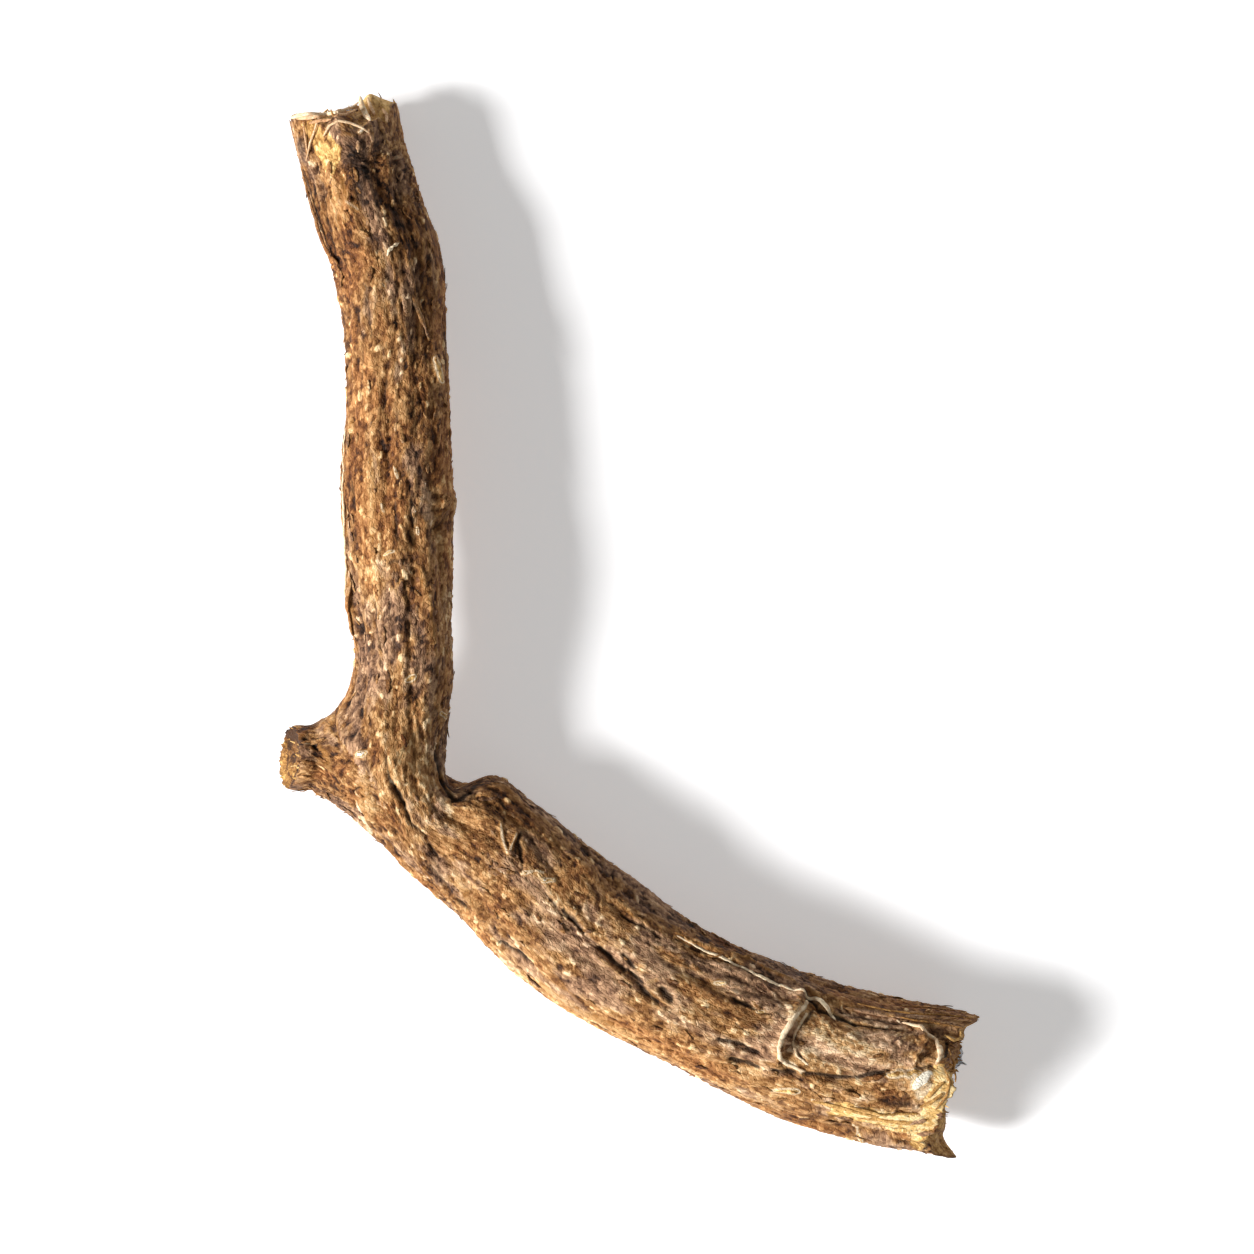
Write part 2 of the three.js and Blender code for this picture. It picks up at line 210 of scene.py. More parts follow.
def furrows(along, around, count, twist):
    """Valleys with the grain: (1 - |sin|) squared of the angle times half the count, each valley
    with its own depth, which comes and goes along the limb."""
    phase = count / 2.0 * (np.radians(around) + twist)
    valley = (1.0 - np.abs(np.sin(phase))) ** 2
    which = np.mod(np.round(phase / np.pi), count)
    strength = 0.5 + 0.5 * np.sin(2.4 * which + 0.8 * along)
    return -FURROW * (1.05 - 0.45 * np.cos(np.radians(around))) * strength * valley


def plate_edge(past, rim, drop, recovery):
    """A line where an outer plate of bark ends: a narrow rim, then a step down that climbs back."""
    step = ramp(past, 0.0, 0.16) * (1.0 - ramp(past, recovery * 0.4, recovery))
    return rim * hump(past, 0.2) - drop * step


def marks(rows, along, around):
    """Sum of humps, each the product of a bell along the limb and a bell around it. A sway bends
    the mark as it goes round."""
    height = 0.0
    for place, facing, length, spread, rise, *sway in rows:
        bend = sum(sway) * np.sin(3.0 * np.radians(around) + place)
        height = height + rise * hump(along - place - bend, length) * hump(turn(facing, around), spread)
    return height


def thick_twist(along):
    """How far the furrows of the thick limb have wandered round it, in radians."""
    return 0.2 * np.sin(0.4 * along + 0.5) + 0.05 * np.sin(1.3 * along)


def thin_twist(along):
    """How far the furrows of the thin limb have wandered round it, in radians."""
    return 0.22 * np.sin(0.36 * along + 2.0) + 0.05 * np.sin(1.5 * along)


# Rows of place along, facing in degrees, length, spread in degrees, height, and a sway if any
THICK_MARKS = [
    (5.35, -80, 0.7, 34, 0.22),  # shoulder by the crotch
    (4.25, -86, 0.5, 36, -0.85),  # notch in the crotch
    (7.3, -82, 1.3, 36, -0.14),  # waist behind the shoulder
    (4.9, -16, 0.7, 9, -0.16),  # crease out of the crotch
    (3.5, 8, 0.6, 8, -0.1),  # crack on the knuckle
    (6.2, -21, 0.3, 9, -0.13),  # scar of a lost rootlet
    (6.7, -12, 0.22, 13, 0.08),  # lip below that scar
    (6.6, 57, 0.5, 7, -0.11),  # cracks on the outer side
    (8.7, 51, 0.6, 7, -0.11),
    (10.6, -3, 1.9, 7, -0.13),  # broken line of cracks
    (15.0, 26, 0.5, 8, -0.13),  # short low crack
    (13.8, -60, 1.9, 7, 0.09),  # pale ridge on the inside
    (2.7, 30, 0.6, 22, 0.08),  # swelling by the stub
    (5.2, 62, 0.7, 22, -0.06),  # hollow on the knuckle
    (8.4, -48, 0.7, 16, 0.09),  # lump on the inner side
    (9.9, 34, 0.8, 14, 0.06),  # lump on the outer side
    (12.9, 24, 0.9, 15, 0.06),  # lump before the plate
    (17.7, -18, 1.2, 14, 0.07),  # tongue of bark below it
    (9.6, 150, 0.5, 20, 0.16),  # rootlet base underneath
    (13.4, -140, 0.5, 18, 0.15),  # rootlet base behind
    (18.2, 125, 0.45, 18, 0.13),  # rootlet base near the end
    (0.55, 0, 0.2, 130, -0.12),  # neck behind the stub's scar
]
THIN_MARKS = [
    (1.0, 66, 0.9, 22, 0.1),  # splayed bark at the torn end
    (2.6, 54, 1.1, 7, -0.13),  # slit behind it
    (2.4, -24, 1.4, 9, -0.17),  # long furrow from the end
    (2.6, -52, 1.6, 10, -0.13),  # second long furrow
    (7.9, -52, 0.4, 16, 0.1),  # small bump
    (11.5, -86, 0.4, 24, 0.1),  # bump on the inner edge
    (12.35, -21, 0.4, 9, -0.14),  # scar pit
    (12.85, 20, 0.2, 60, 0.04, 0.12),  # cross wrinkle
    (13.15, 15, 0.2, 60, -0.04, 0.12),
    (14.7, -15, 1.4, 8, -0.18),  # deep groove
    (14.7, -34, 1.6, 9, 0.1),  # ridge beside the groove
    (14.1, 68, 1.1, 9, 0.1),  # splinter along the edge
    (14.9, 54, 0.4, 6, -0.1),  # slit beside it
    (5.2, 78, 1.2, 9, 0.08),  # strip of bark lifting
    (9.3, 28, 0.8, 20, 0.06),  # low lump
    (10.9, -40, 0.7, 18, -0.05),  # low hollow
    (16.6, 35, 0.8, 18, 0.05),  # lump above the knuckle
    (18.2, -78, 0.8, 40, -0.2),  # waist above the crotch
    (9.4, 165, 0.45, 22, 0.13),  # rootlet base underneath
    (5.8, -140, 0.4, 22, 0.12),  # rootlet base behind
]


def ragged(along, around, amount):
    """Small unevenness of a torn edge: noise on the length and the angle."""
    turns = np.radians(around)
    return amount * lattice_noise(np.stack([3.0 * along, 4.0 * turns, 0.0 * turns], axis=-1), 71)


def thick_bare(along, around):
    """Mask of the slanting band of wood laid bare towards the lower end."""
    torn = ragged(along, around, 5.0)
    low = 57.0 - 13.0 * (along - 17.1) + torn
    high = 70.0 - 6.0 * (along - 17.4) + torn
    band = ramp(around, low - 6.0, low + 3.0) * (1.0 - ramp(around, high, high + 9.0))
    return ramp(along, 16.8, 17.4) * band


def thin_bare(along, around):
    """Mask of the wedge of wood laid bare at the upper end."""
    end = 3.7 - 0.03 * np.abs(turn(32.0, around)) + ragged(along, around, 0.15)
    torn = ragged(along, around, 4.0)
    return (1.0 - ramp(along, end - 0.5, end)) * between(around + torn, 14.0, 48.0, 6.0)


def thick_wood(along, around):
    """Where the thick limb shows wood: most of the bare band and the torn face at the lower end."""
    torn = ragged(along, around, 0.2)
    face = ramp(along + torn, 19.7, 19.9) * between(around + 30.0 * torn, -19.0, 62.0, 6.0)
    golden = ramp(along, 17.1, 17.9) * between(around + 15.0 * torn, 30.0, 48.0, 4.0)
    return np.maximum(golden, face)


def thin_wood(along, around):
    """Where the thin limb shows wood: a wedge behind the torn end."""
    torn = ragged(along, around, 0.15)
    low = 6.0 + 30.0 * np.abs(along - 1.65)
    wedge = between(around + 25.0 * torn, low, 44.0 - 9.0 * (along - 1.1), 3.0)
    return wedge * between(along + 0.5 * torn, 0.6, 2.2, 0.1)


def thick_relief(along, around):
    """Oval section, shallow flutes, furrows, two plate edges, bare wood and the thick limb's marks."""
    angle = np.radians(around)
    girth = ramp(along, 0.0, 4.0)
    oval = -0.1 * np.cos(angle) ** 2
    flutes = 0.06 * np.cos(3 * angle + 0.3 * along + 1.0) + 0.04 * np.sin(2 * angle + 0.8 * along + 3.4)
    grain = furrows(along, around, THICK_FURROWS, thick_twist(along))
    first = along - 15.7 - 0.0001 * turn(-15.0, around) ** 2
    second = along - 20.15 + 0.0014 * turn(-32.0, around) ** 2
    plates = plate_edge(first, 0.1, 0.13, 3.6) * between(around, -56.0, 10.0, 10.0)
    plates = plates + plate_edge(second, 0.09, 0.12, 6.0) * between(around, -48.0, -18.0, 8.0)
    height = (oval + flutes) * girth + grain * mix(0.6, 1.0, girth) + plates
    return height - BARK * thick_bare(along, around) + marks(THICK_MARKS, along, around)


def thin_relief(along, around):
    """Oval section, shallow flutes, furrows, bare wood and the thin limb's marks."""
    angle = np.radians(around)
    oval = -0.07 * np.cos(angle) ** 2
    flutes = 0.05 * np.cos(3 * angle - 0.35 * along) + 0.03 * np.sin(2 * angle + 0.9 * along + 1.0)
    grain = furrows(along, around, THIN_FURROWS, thin_twist(along)) * mix(0.85, 0.3, ramp(along, 16.0, 17.6))
    return oval + flutes + grain - 0.8 * BARK * thin_bare(along, around) + marks(THIN_MARKS, along, around)


def torn_end(share, around):
    """How far the torn lower end stands out: a slope, jags that grow with the cube of the share of
    the radius, two long tips and a ring-shaped hollow."""
    angle = np.radians(around)
    slope = -0.42 * np.cos(angle) * share
    jags = (0.13 * np.sin(4 * angle + 0.6) + 0.09 * np.sin(9 * angle + 2.0)) * share ** 3
    tips = (0.62 * hump(turn(97.0, around), 18.0) + 0.27 * hump(turn(-84.0, around), 18.0)) * share ** 2
    return slope + jags + tips - 0.16 * hump(share - 0.8, 0.14) - 0.4


def scar_end(share, around):
    """The stub's scar: a tilted plane with a bowl one minus the share squared deep."""
    return -0.38 * np.cos(np.radians(around)) * share - 0.2 * (1.0 - share ** 2)


# Rows of how far left and how far up on the torn upper end, as shares of the radius, width, height
END_LUMPS = [
    (0.85, 0.3, 0.42, 0.68),  # lobe of bark on the left
    (-0.55, 0.1, 0.34, 0.65),  # tall splinter on the right
    (0.25, -0.6, 0.4, 0.36),  # knob at the bottom
    (0.05, 0.5, 0.3, 0.5),  # curl behind the top edge
    (0.3, 0.12, 0.22, -0.4),  # hole
    (0.55, 0.8, 0.24, 0.5),  # bark that fills the notch by the left lobe
    (0.1, 0.95, 0.2, 0.25),
]


def broken_end(share, around):
    """The torn upper end: a plane that slants back towards the top, with bells for lumps and a hole."""
    angle = np.radians(around)
    left = share * np.sin(angle)
    up = share * np.cos(angle)
    height = -0.6 - 0.62 * up + 0.1 * np.sin(8 * angle) * share ** 3
    for lump_left, lump_up, width, rise in END_LUMPS:
        height = height + rise * hump(np.hypot(left - lump_left, up - lump_up), width)
    return height


def buried_end(share, around):
    """The thin limb's end inside the knuckle, which needs no shape."""
    return np.zeros(np.broadcast(share, around).shape)


# Places read off the photograph, and what becomes of them
MM_PER_PIXEL = 0.105
PHOTO_MIDDLE = (247.0, 872.0)  # pixel at the middle of the paths' numbers
VIEW_CORNER = (150.0, 868.0)  # pixel at the upper left of the view that the fork was read off
VIEW_SCALE = 13.0  # how many times that view is enlarged
WHITER = 1.5  # how much paler flecks are than they were first read
THIN_CRACK_DEPTH = 0.55  # how deep the thin limb's cracks are beside their first reading
THIN_CRACK_DARKNESS = 0.72  # how dark the darkest of them are beside it
DARKEST = -0.7  # tone from which a crack counts as one of those


def from_photo(across, down):
    """Millimetres, to the nearest 0.01, for a place in pixels."""
    x = round((across - PHOTO_MIDDLE[0]) * MM_PER_PIXEL, 2)
    return x, round((PHOTO_MIDDLE[1] - down) * MM_PER_PIXEL, 2)


def seen(x0, y0, x1, y1, width, rise, tone):
    """A stroke at the fork, whose ends were read off the enlarged view."""
    start = from_photo(VIEW_CORNER[0] + x0 / VIEW_SCALE, VIEW_CORNER[1] + y0 / VIEW_SCALE)
    end = from_photo(VIEW_CORNER[0] + x1 / VIEW_SCALE, VIEW_CORNER[1] + y1 / VIEW_SCALE)
    return (*start, *end, width, rise, tone)


def traced(*pixels):
    """A line's places, from its pixels across and down in turn."""
    return [from_photo(across, down) for across, down in zip(pixels[::2], pixels[1::2])]


def whiter(tone):
    """The tone of a pale fleck, for the one that was read."""
    return round(tone * WHITER, 2)


def thin_crack(start, start_around, end, end_around, width, rise, tone):
    """A dark stroke of the thin limb, shallower than it was read, and less dark if very dark."""
    if tone <= DARKEST:
        tone = round(tone * THIN_CRACK_DARKNESS, 2)
    return (start, start_around, end, end_around, width, round(rise * THIN_CRACK_DEPTH, 3), tone)


# Strokes: cracks, scars, rims and flecks read off the bark, with some painted shadows and painted
# highlights, as short lines on it
# Rows of start along, start around, end along, end around, half width, height, tone, where the
# tone runs from -1, dark cracks and painted shadows, over 0.5, tan bark and painted highlights, and 1, a
# pale edge, to 2, cream wood
THICK_STROKES = [
    (0.5, -60, 0.6, -20, 0.08, -0.04, -0.6),  # collar behind the stub's scar
    (5.2, -60, 5.9, -44, 0.06, -0.06, -0.8),
    (5.3, -24, 5.7, -34, 0.06, 0.05, 0.9),
    (6.1, -22, 6.35, -18, 0.22, 0.08, 0.4),
    (6.5, -31, 7.3, -10, 0.06, -0.07, -0.8),
    (7.16, -6, 8.2, -9, 0.06, -0.05, -0.6),
    (8.2, -9, 9.0, -6, 0.06, -0.06, -0.7),
    (7.35, -9, 7.5, -14, 0.1, 0.06, whiter(1.6)),  # white dots
    (7.55, -17, 7.8, -22, 0.05, 0.05, whiter(1.2)),
    (7.95, -17, 8.12, -23, 0.11, 0.06, whiter(1.7)),
    (6.8, 3, 7.0, -2, 0.09, 0.04, whiter(1.2)),
    (6.25, 57, 7.0, 58, 0.08, -0.11, -1.0),  # cracks on the outer side
    (7.0, 58, 7.5, 50, 0.05, -0.06, -0.7),
    (8.2, 56, 9.2, 46, 0.08, -0.11, -1.0),
    (4.8, 32, 5.85, 53, 0.07, -0.1, -0.9),
    (5.3, 27, 6.85, 48, 0.25, 0.02, 0.6),  # tan strip
    (8.9, -11, 9.7, -7, 0.08, -0.12, -1.0),  # broken line of cracks
    (9.75, -6, 10.2, -4, 0.04, -0.05, -0.6),
    (10.3, -4, 11.25, 0, 0.1, -0.13, -1.0),
    (11.0, -12, 11.45, -7, 0.08, -0.1, -1.0),
    (11.3, -3, 11.8, 1, 0.07, -0.11, -1.0),
    (11.7, 4, 12.4, 8, 0.09, -0.12, -1.0),
    (12.3, -3, 12.68, 2, 0.1, -0.1, -0.9),
    (10.5, 3, 11.5, 6, 0.05, 0.04, 0.8),
    (11.9, -1, 12.1, -8, 0.06, 0.04, 0.9),
    (9.9, -47, 11.3, -46, 0.07, 0.05, 0.9),
    (10.3, -41, 11.6, -43, 0.05, -0.07, -0.8),
    (11.95, -55, 12.9, -57, 0.07, 0.09, 1.1),  # pale ridge line
    (12.9, -57, 14.0, -66, 0.07, 0.09, 1.0),
    (14.0, -66, 15.5, -64, 0.08, 0.1, 1.0),
    (12.0, -50, 15.2, -57, 0.05, -0.06, -0.7),
    (14.1, -25, 15.1, -23, 0.09, -0.08, -0.9),
    (14.2, 12, 15.2, 11, 0.08, -0.12, -1.0),
    (14.4, -5, 14.8, -2, 0.05, -0.06, -0.7),
    (13.48, -30, 13.64, -32, 0.11, 0.06, whiter(1.5)),
    (14.8, -22, 14.98, -24, 0.09, 0.05, whiter(1.4)),
    (9.8, 55, 11.0, 54, 0.24, 0.03, 1.0),  # tan patches
    (11.0, 50, 12.3, 50, 0.17, 0.03, 0.85),
    (10.9, 62, 11.9, 62, 0.06, -0.06, -0.8),
    (12.4, 58, 13.4, 57, 0.12, 0.02, 0.7),
    (14.65, 27, 15.35, 24, 0.1, -0.12, -1.0),
    (15.75, 20, 16.35, 15, 0.1, -0.1, -0.9),
    (15.9, 40, 16.6, 30, 0.13, 0.04, whiter(1.3)),
    (14.9, 50, 16.3, 28, 0.2, 0.02, 0.5),
    (15.98, -50, 15.78, -29, 0.06, 0.03, 1.3),  # curled edge of the first plate, a C
    (15.78, -29, 15.65, -10, 0.07, 0.03, 1.5),
    (15.65, -10, 15.78, 7, 0.08, 0.03, 1.7),
    (15.78, 7, 16.5, 13, 0.08, 0.03, 1.6),
    (16.3, -46, 16.05, -24, 0.06, -0.05, -0.7),  # painted shadow in the gap under it
    (16.05, -24, 16.0, -6, 0.05, -0.05, -0.6),
    (16.0, -6, 16.4, 3, 0.05, -0.05, -0.6),
    (16.0, -28, 16.1, -8, 0.05, 0.03, 0.9),
    (15.9, -58, 16.35, -50, 0.1, -0.14, -1.0),
    (15.85, -64, 16.3, -60, 0.07, 0.07, 1.0),
    (16.3, -60, 16.8, -50, 0.08, 0.06, 0.9),
    (16.44, -48, 17.6, -44, 0.1, -0.1, -1.0),
    (17.6, -44, 18.9, -44, 0.06, -0.06, -0.7),
    (16.6, 13, 17.7, 6, 0.08, -0.09, -0.9),
    (17.7, 6, 18.7, -8, 0.07, -0.08, -0.9),
    # painted shadow under the plate's lower edge
    (18.7, -8, 19.8, -17, 0.08, -0.1, -0.9),
    (17.4, -58, 20.0, -60, 0.06, 0.04, 0.8),
    (17.0, -52, 19.0, -52, 0.05, -0.05, -0.7),
    (18.75, -54, 19.4, -49, 0.05, 0.03, 1.1),  # curled edge of the second plate
    (19.4, -49, 19.85, -41, 0.06, 0.03, 1.3),
    (19.85, -41, 19.95, -20, 0.06, 0.04, 1.9),
    # painted shadow behind the curled edge
    (20.16, -42, 20.18, -16, 0.07, -0.06, -0.9),
    (20.1, -47, 20.55, -43, 0.07, 0.07, 2.25),
    (19.4, -54, 20.2, -56, 0.05, 0.05, 1.0),
    (19.36, 2, 19.74, -11, 0.15, 0.07, 4.0),  # white wood
    (18.7, -4, 19.45, -11, 0.17, 0.0, 1.9),  # ochre wood round it
    (19.6, 6, 20.3, -6, 0.3, 0.02, 1.85),
    (20.0, -2, 20.5, 8, 0.2, 0.0, 1.9),
    (18.6, 21, 19.4, 16, 0.2, -0.05, -0.62),  # dark hollow in the wood
    (17.2, 33, 17.8, 29, 0.05, -0.03, -0.5),
    (17.0, 34, 17.9, 31, 0.07, 0.02, 1.9),  # golden wood below it
    (17.9, 29, 18.6, 29, 0.07, 0.03, 2.05),
    (18.0, 36, 19.75, 31, 0.17, 0.02, 1.95),
    (18.1, 43, 19.8, 38, 0.13, 0.0, 1.9),
    (18.15, 50, 19.9, 46, 0.04, -0.05, -0.6),
    (19.5, 66, 20.4, 52, 0.06, -0.06, -0.8),
    (20.0, 54, 20.45, 40, 0.07, 0.06, 2.0),
    (20.3, 68, 20.7, 46, 0.09, -0.06, -1.0),
    (18.2, 58, 18.7, 86, 0.08, 0.03, whiter(1.3)),
    (20.9, 70, 21.1, 78, 0.1, 0.05, whiter(1.8)),
]
THIN_STROKES = [
    thin_crack(0.9, 58, 1.5, 60, 0.2, 0.02, -0.55),  # lobe of purple bark at the torn end
    (0.4, 62, 1.3, 66, 0.05, 0.04, 1.0),
    (0.95, 50, 1.6, 52, 0.05, 0.04, 0.9),
    (1.24, -13, 1.3, -19, 0.1, 0.07, 4.0),  # white dot on the rim
    (1.3, 4, 1.4, -8, 0.1, 0.05, 0.6),
    thin_crack(1.65, -4, 3.3, -1, 0.26, -0.03, -0.6),  # dark purple patch
    thin_crack(1.6, -16, 2.6, -14, 0.16, -0.03, -0.6),
    (1.4, -31, 2.85, -23, 0.12, 0.06, -0.5),  # long groove, shallower than its furrow, with its shade painted dark
    (2.85, -23, 4.0, -8, 0.08, 0.0, -0.5),
    (2.4, 37, 3.6, 36, 0.18, 0.02, 0.95),  # tan strip
    (2.3, 27, 3.5, 25, 0.16, 0.02, 0.95),
    (2.3, 18, 3.1, 15, 0.1, 0.02, 0.85),
    (3.15, 15, 3.4, 8, 0.12, 0.04, 1.2),
    thin_crack(1.8, 50, 2.7, 52, 0.06, -0.08, -0.8),
    thin_crack(2.7, 52, 4.6, 62, 0.07, -0.1, -1),  # crack on its outer side
    (1.4, -46, 3.2, -40, 0.12, 0.04, 0.35),
    thin_crack(2, -58, 4.2, -46, 0.08, -0.06, -0.7),
    (4.78, -7, 4.64, -14, 0.06, 0.03, 0.9),  # hook mark and the spots under it
    (4.64, -14, 4.6, -22, 0.06, 0.03, 0.9),
    thin_crack(4.6, 0, 4.75, 5, 0.06, -0.04, -0.6),
    (4.95, 4, 5.08, 2, 0.08, 0.04, 1.1),
    (5.6, 4, 5.7, 2, 0.08, 0.04, 1.2),
    (6.0, 6, 6.08, 0, 0.06, 0.04, 1.2),
    (4.9, -8, 5.5, -9, 0.07, 0.04, 0.7),
    thin_crack(4.7, -3, 5.7, -2, 0.05, -0.03, -0.5),
    (4.6, -26, 5.8, -34, 0.08, 0.04, 0.6),
    (5.8, -34, 6.8, -46, 0.08, 0.04, 0.7),
    thin_crack(5, -31, 6.6, -47, 0.05, -0.05, -0.6),
    (13.1, 71, 15.0, 74, 0.15, 0.03, 1.0),  # splinter along the edge
    (9.5, 71, 11.4, 70, 0.08, 0.02, 0.7),  # bright worn edge on the left, paler from wear and from painted light on the lamp's side
    (11.4, 70, 13.1, 69, 0.08, 0.02, 0.9),
    (7.6, -48, 8.2, -54, 0.13, 0.07, whiter(1.4)),  # small bump
    thin_crack(8.2, 8, 9, 14, 0.05, -0.05, -0.6),
    thin_crack(9.56, 17, 10.6, 9, 0.06, -0.07, -0.8),
    (10.55, 2, 10.85, -3, 0.07, 0.05, whiter(1.3)),
    (11.5, 17, 11.72, 15, 0.07, 0.05, whiter(1.3)),
    (10.4, 28, 12.45, 28, 0.13, 0.02, 0.9),  # worn tan streak
    thin_crack(10.8, 54, 11.6, 51, 0.06, -0.08, -0.9),
    thin_crack(11.45, 2, 12.5, -1, 0.07, -0.08, -0.9),
    thin_crack(11.1, -26, 11.45, -66, 0.05, -0.04, -0.45),  # wrinkles that fan out from a rootlet scar
    (11.5, -26, 11.5, -66, 0.05, 0.05, 0.6),
    thin_crack(11.8, -28, 11.6, -66, 0.05, -0.05, -0.5),
    (12.1, -30, 11.65, -66, 0.05, 0.05, 0.6),
    thin_crack(12.45, -34, 11.75, -66, 0.05, -0.05, -0.55),
    (11.5, -18, 12.1, -19, 0.1, -0.02, -0.8),
    (12.3, -14, 12.6, -17, 0.08, -0.02, -0.6),
    (12.15, -24, 12.35, -24, 0.06, 0.05, whiter(1.5)),
    (13.05, 50, 12.95, 20, 0.07, 0.04, 0.5),  # cross wrinkle
    (12.95, 20, 12.8, -1, 0.07, 0.05, 0.8),
    (12.8, -1, 12.72, -22, 0.06, 0.04, 0.6),
    thin_crack(13.2, 46, 13.1, 22, 0.05, -0.03, -0.45),
    thin_crack(13.1, 12, 13, -10, 0.06, -0.05, -0.6),
    (12.86, 16, 12.82, 3, 0.06, 0.05, whiter(1.3)),
    (13.3, -11, 13.9, -16, 0.12, 0.05, -0.5),  # groove, shallower than its furrow, with its shade painted dark
    (13.9, -16, 14.6, -13, 0.12, 0.09, -0.15),
    (14.6, -13, 15.2, -18, 0.12, 0.05, -0.45),
    (15.2, -18, 16.05, -15, 0.12, 0.09, -0.1),
    thin_crack(13.5, -8, 15.1, -10, 0.06, -0.08, -0.8),
    (13.3, -23, 14.4, -33, 0.09, 0.06, 0.9),
    (14.4, -33, 16.1, -44, 0.09, 0.05, 0.8),
    thin_crack(13.9, 12, 15.4, 8, 0.06, -0.06, -0.7),
    thin_crack(13.6, 34, 15.8, 28, 0.06, -0.05, -0.6),
    (13.2, 66, 15.0, 69, 0.09, 0.05, 1.0),
    (14.5, 53, 15.0, 61, 0.05, -0.02, -0.9),
    thin_crack(5.5, 26, 7, 22, 0.06, -0.05, -0.6),
    thin_crack(7.2, 34, 8.8, 40, 0.06, -0.06, -0.7),
    thin_crack(6.2, -8, 7.4, -14, 0.05, -0.06, -0.7),
    thin_crack(8.6, -20, 9.8, -26, 0.06, -0.06, -0.7),
    (9.2, 56, 10.2, 60, 0.08, 0.03, 0.8),
]
# The same at the fork, where the limbs merge: start x, start y, end x, end y in place of lengths
# and angles, laid on from above. Rows without seen are in millimetres
FORK_STROKES = [
    (-3.76, -5.3, -3.56, -6.12, 0.07, 0.06, 1.35),  # tongue-shaped scar with a pale edge
    (-3.28, -5.6, -3.5, -6.15, 0.06, 0.06, 1.3),
    (-3.56, -5.5, -3.52, -5.85, 0.06, -0.03, -0.4),
    # painted shadow on the scar's right side
    (-3.16, -5.55, -3.36, -6.2, 0.05, -0.05, -0.7),
    (-9.42, -2.98, -9.04, -3.3, 0.07, -0.08, -1.0),  # dark gap and tan neck behind the stub's scar
    seen(415, 545, 440, 590, 0.07, -0.1, -0.9),  # long crack on the knuckle
    seen(440, 590, 470, 650, 0.1, -0.14, -1),
    seen(470, 650, 488, 715, 0.07, -0.12, -0.9),
    seen(488, 715, 545, 760, 0.07, -0.12, -0.9),
    seen(430, 640, 452, 720, 0.06, -0.08, -0.7),
    seen(552, 795, 580, 840, 0.07, -0.1, -0.9),
    seen(545, 860, 600, 930, 0.06, -0.06, -0.6),
    (-7.5, -4.15, -7.36, -5.15, 0.24, 0.06, 0.9),  # tan hill and its bright edge
    (-7.72, -4.8, -7.3, -5.7, 0.1, 0.05, 1.4),
    seen(395, 680, 470, 800, 0.2, 0.03, 0.3),
    (-7.62, -3.48, -7.46, -3.4, 0.13, 0.06, 3.2),  # white fleck by the stub
    seen(270, 515, 325, 525, 0.1, 0, 0.5),
    seen(305, 585, 322, 565, 0.06, 0.05, 1),
    seen(290, 612, 330, 588, 0.06, -0.06, -0.8),
    seen(437, 395, 436, 525, 0.09, 0.04, 0.7),  # tan streaks and a dark line
    seen(388, 392, 420, 400, 0.06, 0.03, 0.8),
    seen(470, 400, 465, 440, 0.06, 0.03, 0.7),
    seen(408, 470, 418, 550, 0.06, -0.06, -0.7),
    seen(485, 232, 512, 215, 0.11, 0.06, whiter(1.3)),  # fleck at the foot of the deep groove
    seen(490, 545, 520, 530, 0.07, 0.04, 0.9),
    seen(515, 310, 530, 320, 0.08, 0.02, 0.8),  # ochre spots
    seen(580, 305, 600, 335, 0.1, 0.04, 0.9),
    seen(605, 345, 625, 368, 0.07, 0.05, whiter(1.4)),
    seen(597, 450, 612, 560, 0.08, -0.08, -0.8),  # painted shade: a dark line down into the crotch and round the shoulder
    seen(612, 560, 650, 640, 0.08, -0.1, -0.9),
    seen(645, 640, 700, 600, 0.08, -0.1, -1),
    seen(700, 600, 745, 560, 0.07, -0.06, -0.7),
    seen(760, 590, 850, 640, 0.08, 0.04, 0.8),  # painted highlight on the top of the shoulder
    # painted shade on the shoulder's inner side
    seen(680, 650, 720, 600, 0.05, -0.05, -0.6),
    seen(660, 738, 700, 745, 0.08, 0.05, 1.1),
    seen(612, 792, 640, 798, 0.08, 0.04, 0.9),
    seen(655, 770, 690, 790, 0.05, -0.04, -0.5),
    seen(330, 250, 345, 400, 0.06, -0.03, -0.3),  # grey ridges on the web
    seen(385, 90, 395, 200, 0.07, -0.04, -0.5),
    seen(370, 220, 385, 330, 0.1, 0.04, 0.25),
    seen(250, 240, 190, 380, 0.08, 0.02, 0.6),
    seen(175, 400, 215, 350, 0.09, 0.02, 0.8),
    (-9.0, -3.2, -8.65, -3.85, 0.15, 0.02, 0.9),
    (-8.85, -2.45, -8.5, -2.95, 0.06, 0.05, 0.9),
]


# Patches of lighter or darker bark, some of them painted light and shade, and of redder or greyer bark
# Rows of place along, facing in degrees, length, spread in degrees, amount
THICK_SHADES = [
    (2.7, 30, 0.6, 24, 0.1),  # tan hill
    (1.8, -45, 1.2, 34, -0.12),
    (5.4, -62, 1.1, 34, -0.12),  # painted shade on the shoulder by the crotch
    # painted light at the fork
    (4.2, -5, 1.6, 36, 0.2),
    (6.1, 36, 0.9, 9, 0.22),  # tan strip
    (8.0, -50, 1.3, 20, -0.08),
    (9.5, -8, 4.0, 40, 0.2),
    (13.0, -72, 2.0, 18, -0.12),
    (7.5, 68, 2.0, 16, 0.2),  # worn lower edge, paler from wear and from painted light on the lamp's side
    (11.0, 64, 3.0, 15, 0.22),
    (14.8, 62, 2.0, 13, 0.2),
    (17.4, -15, 2.4, 36, 0.33),  # tongue of bark between the curled edges
    (14.0, 0, 1.5, 40, 0.08),
    (19.1, 16, 0.5, 9, -0.3),
    (18.9, 38, 1.3, 13, 0.58),  # golden wood
    (20.5, 6, 0.8, 40, 0.46),  # torn wood
    (6.9, -10, 0.9, 24, -0.11),
]
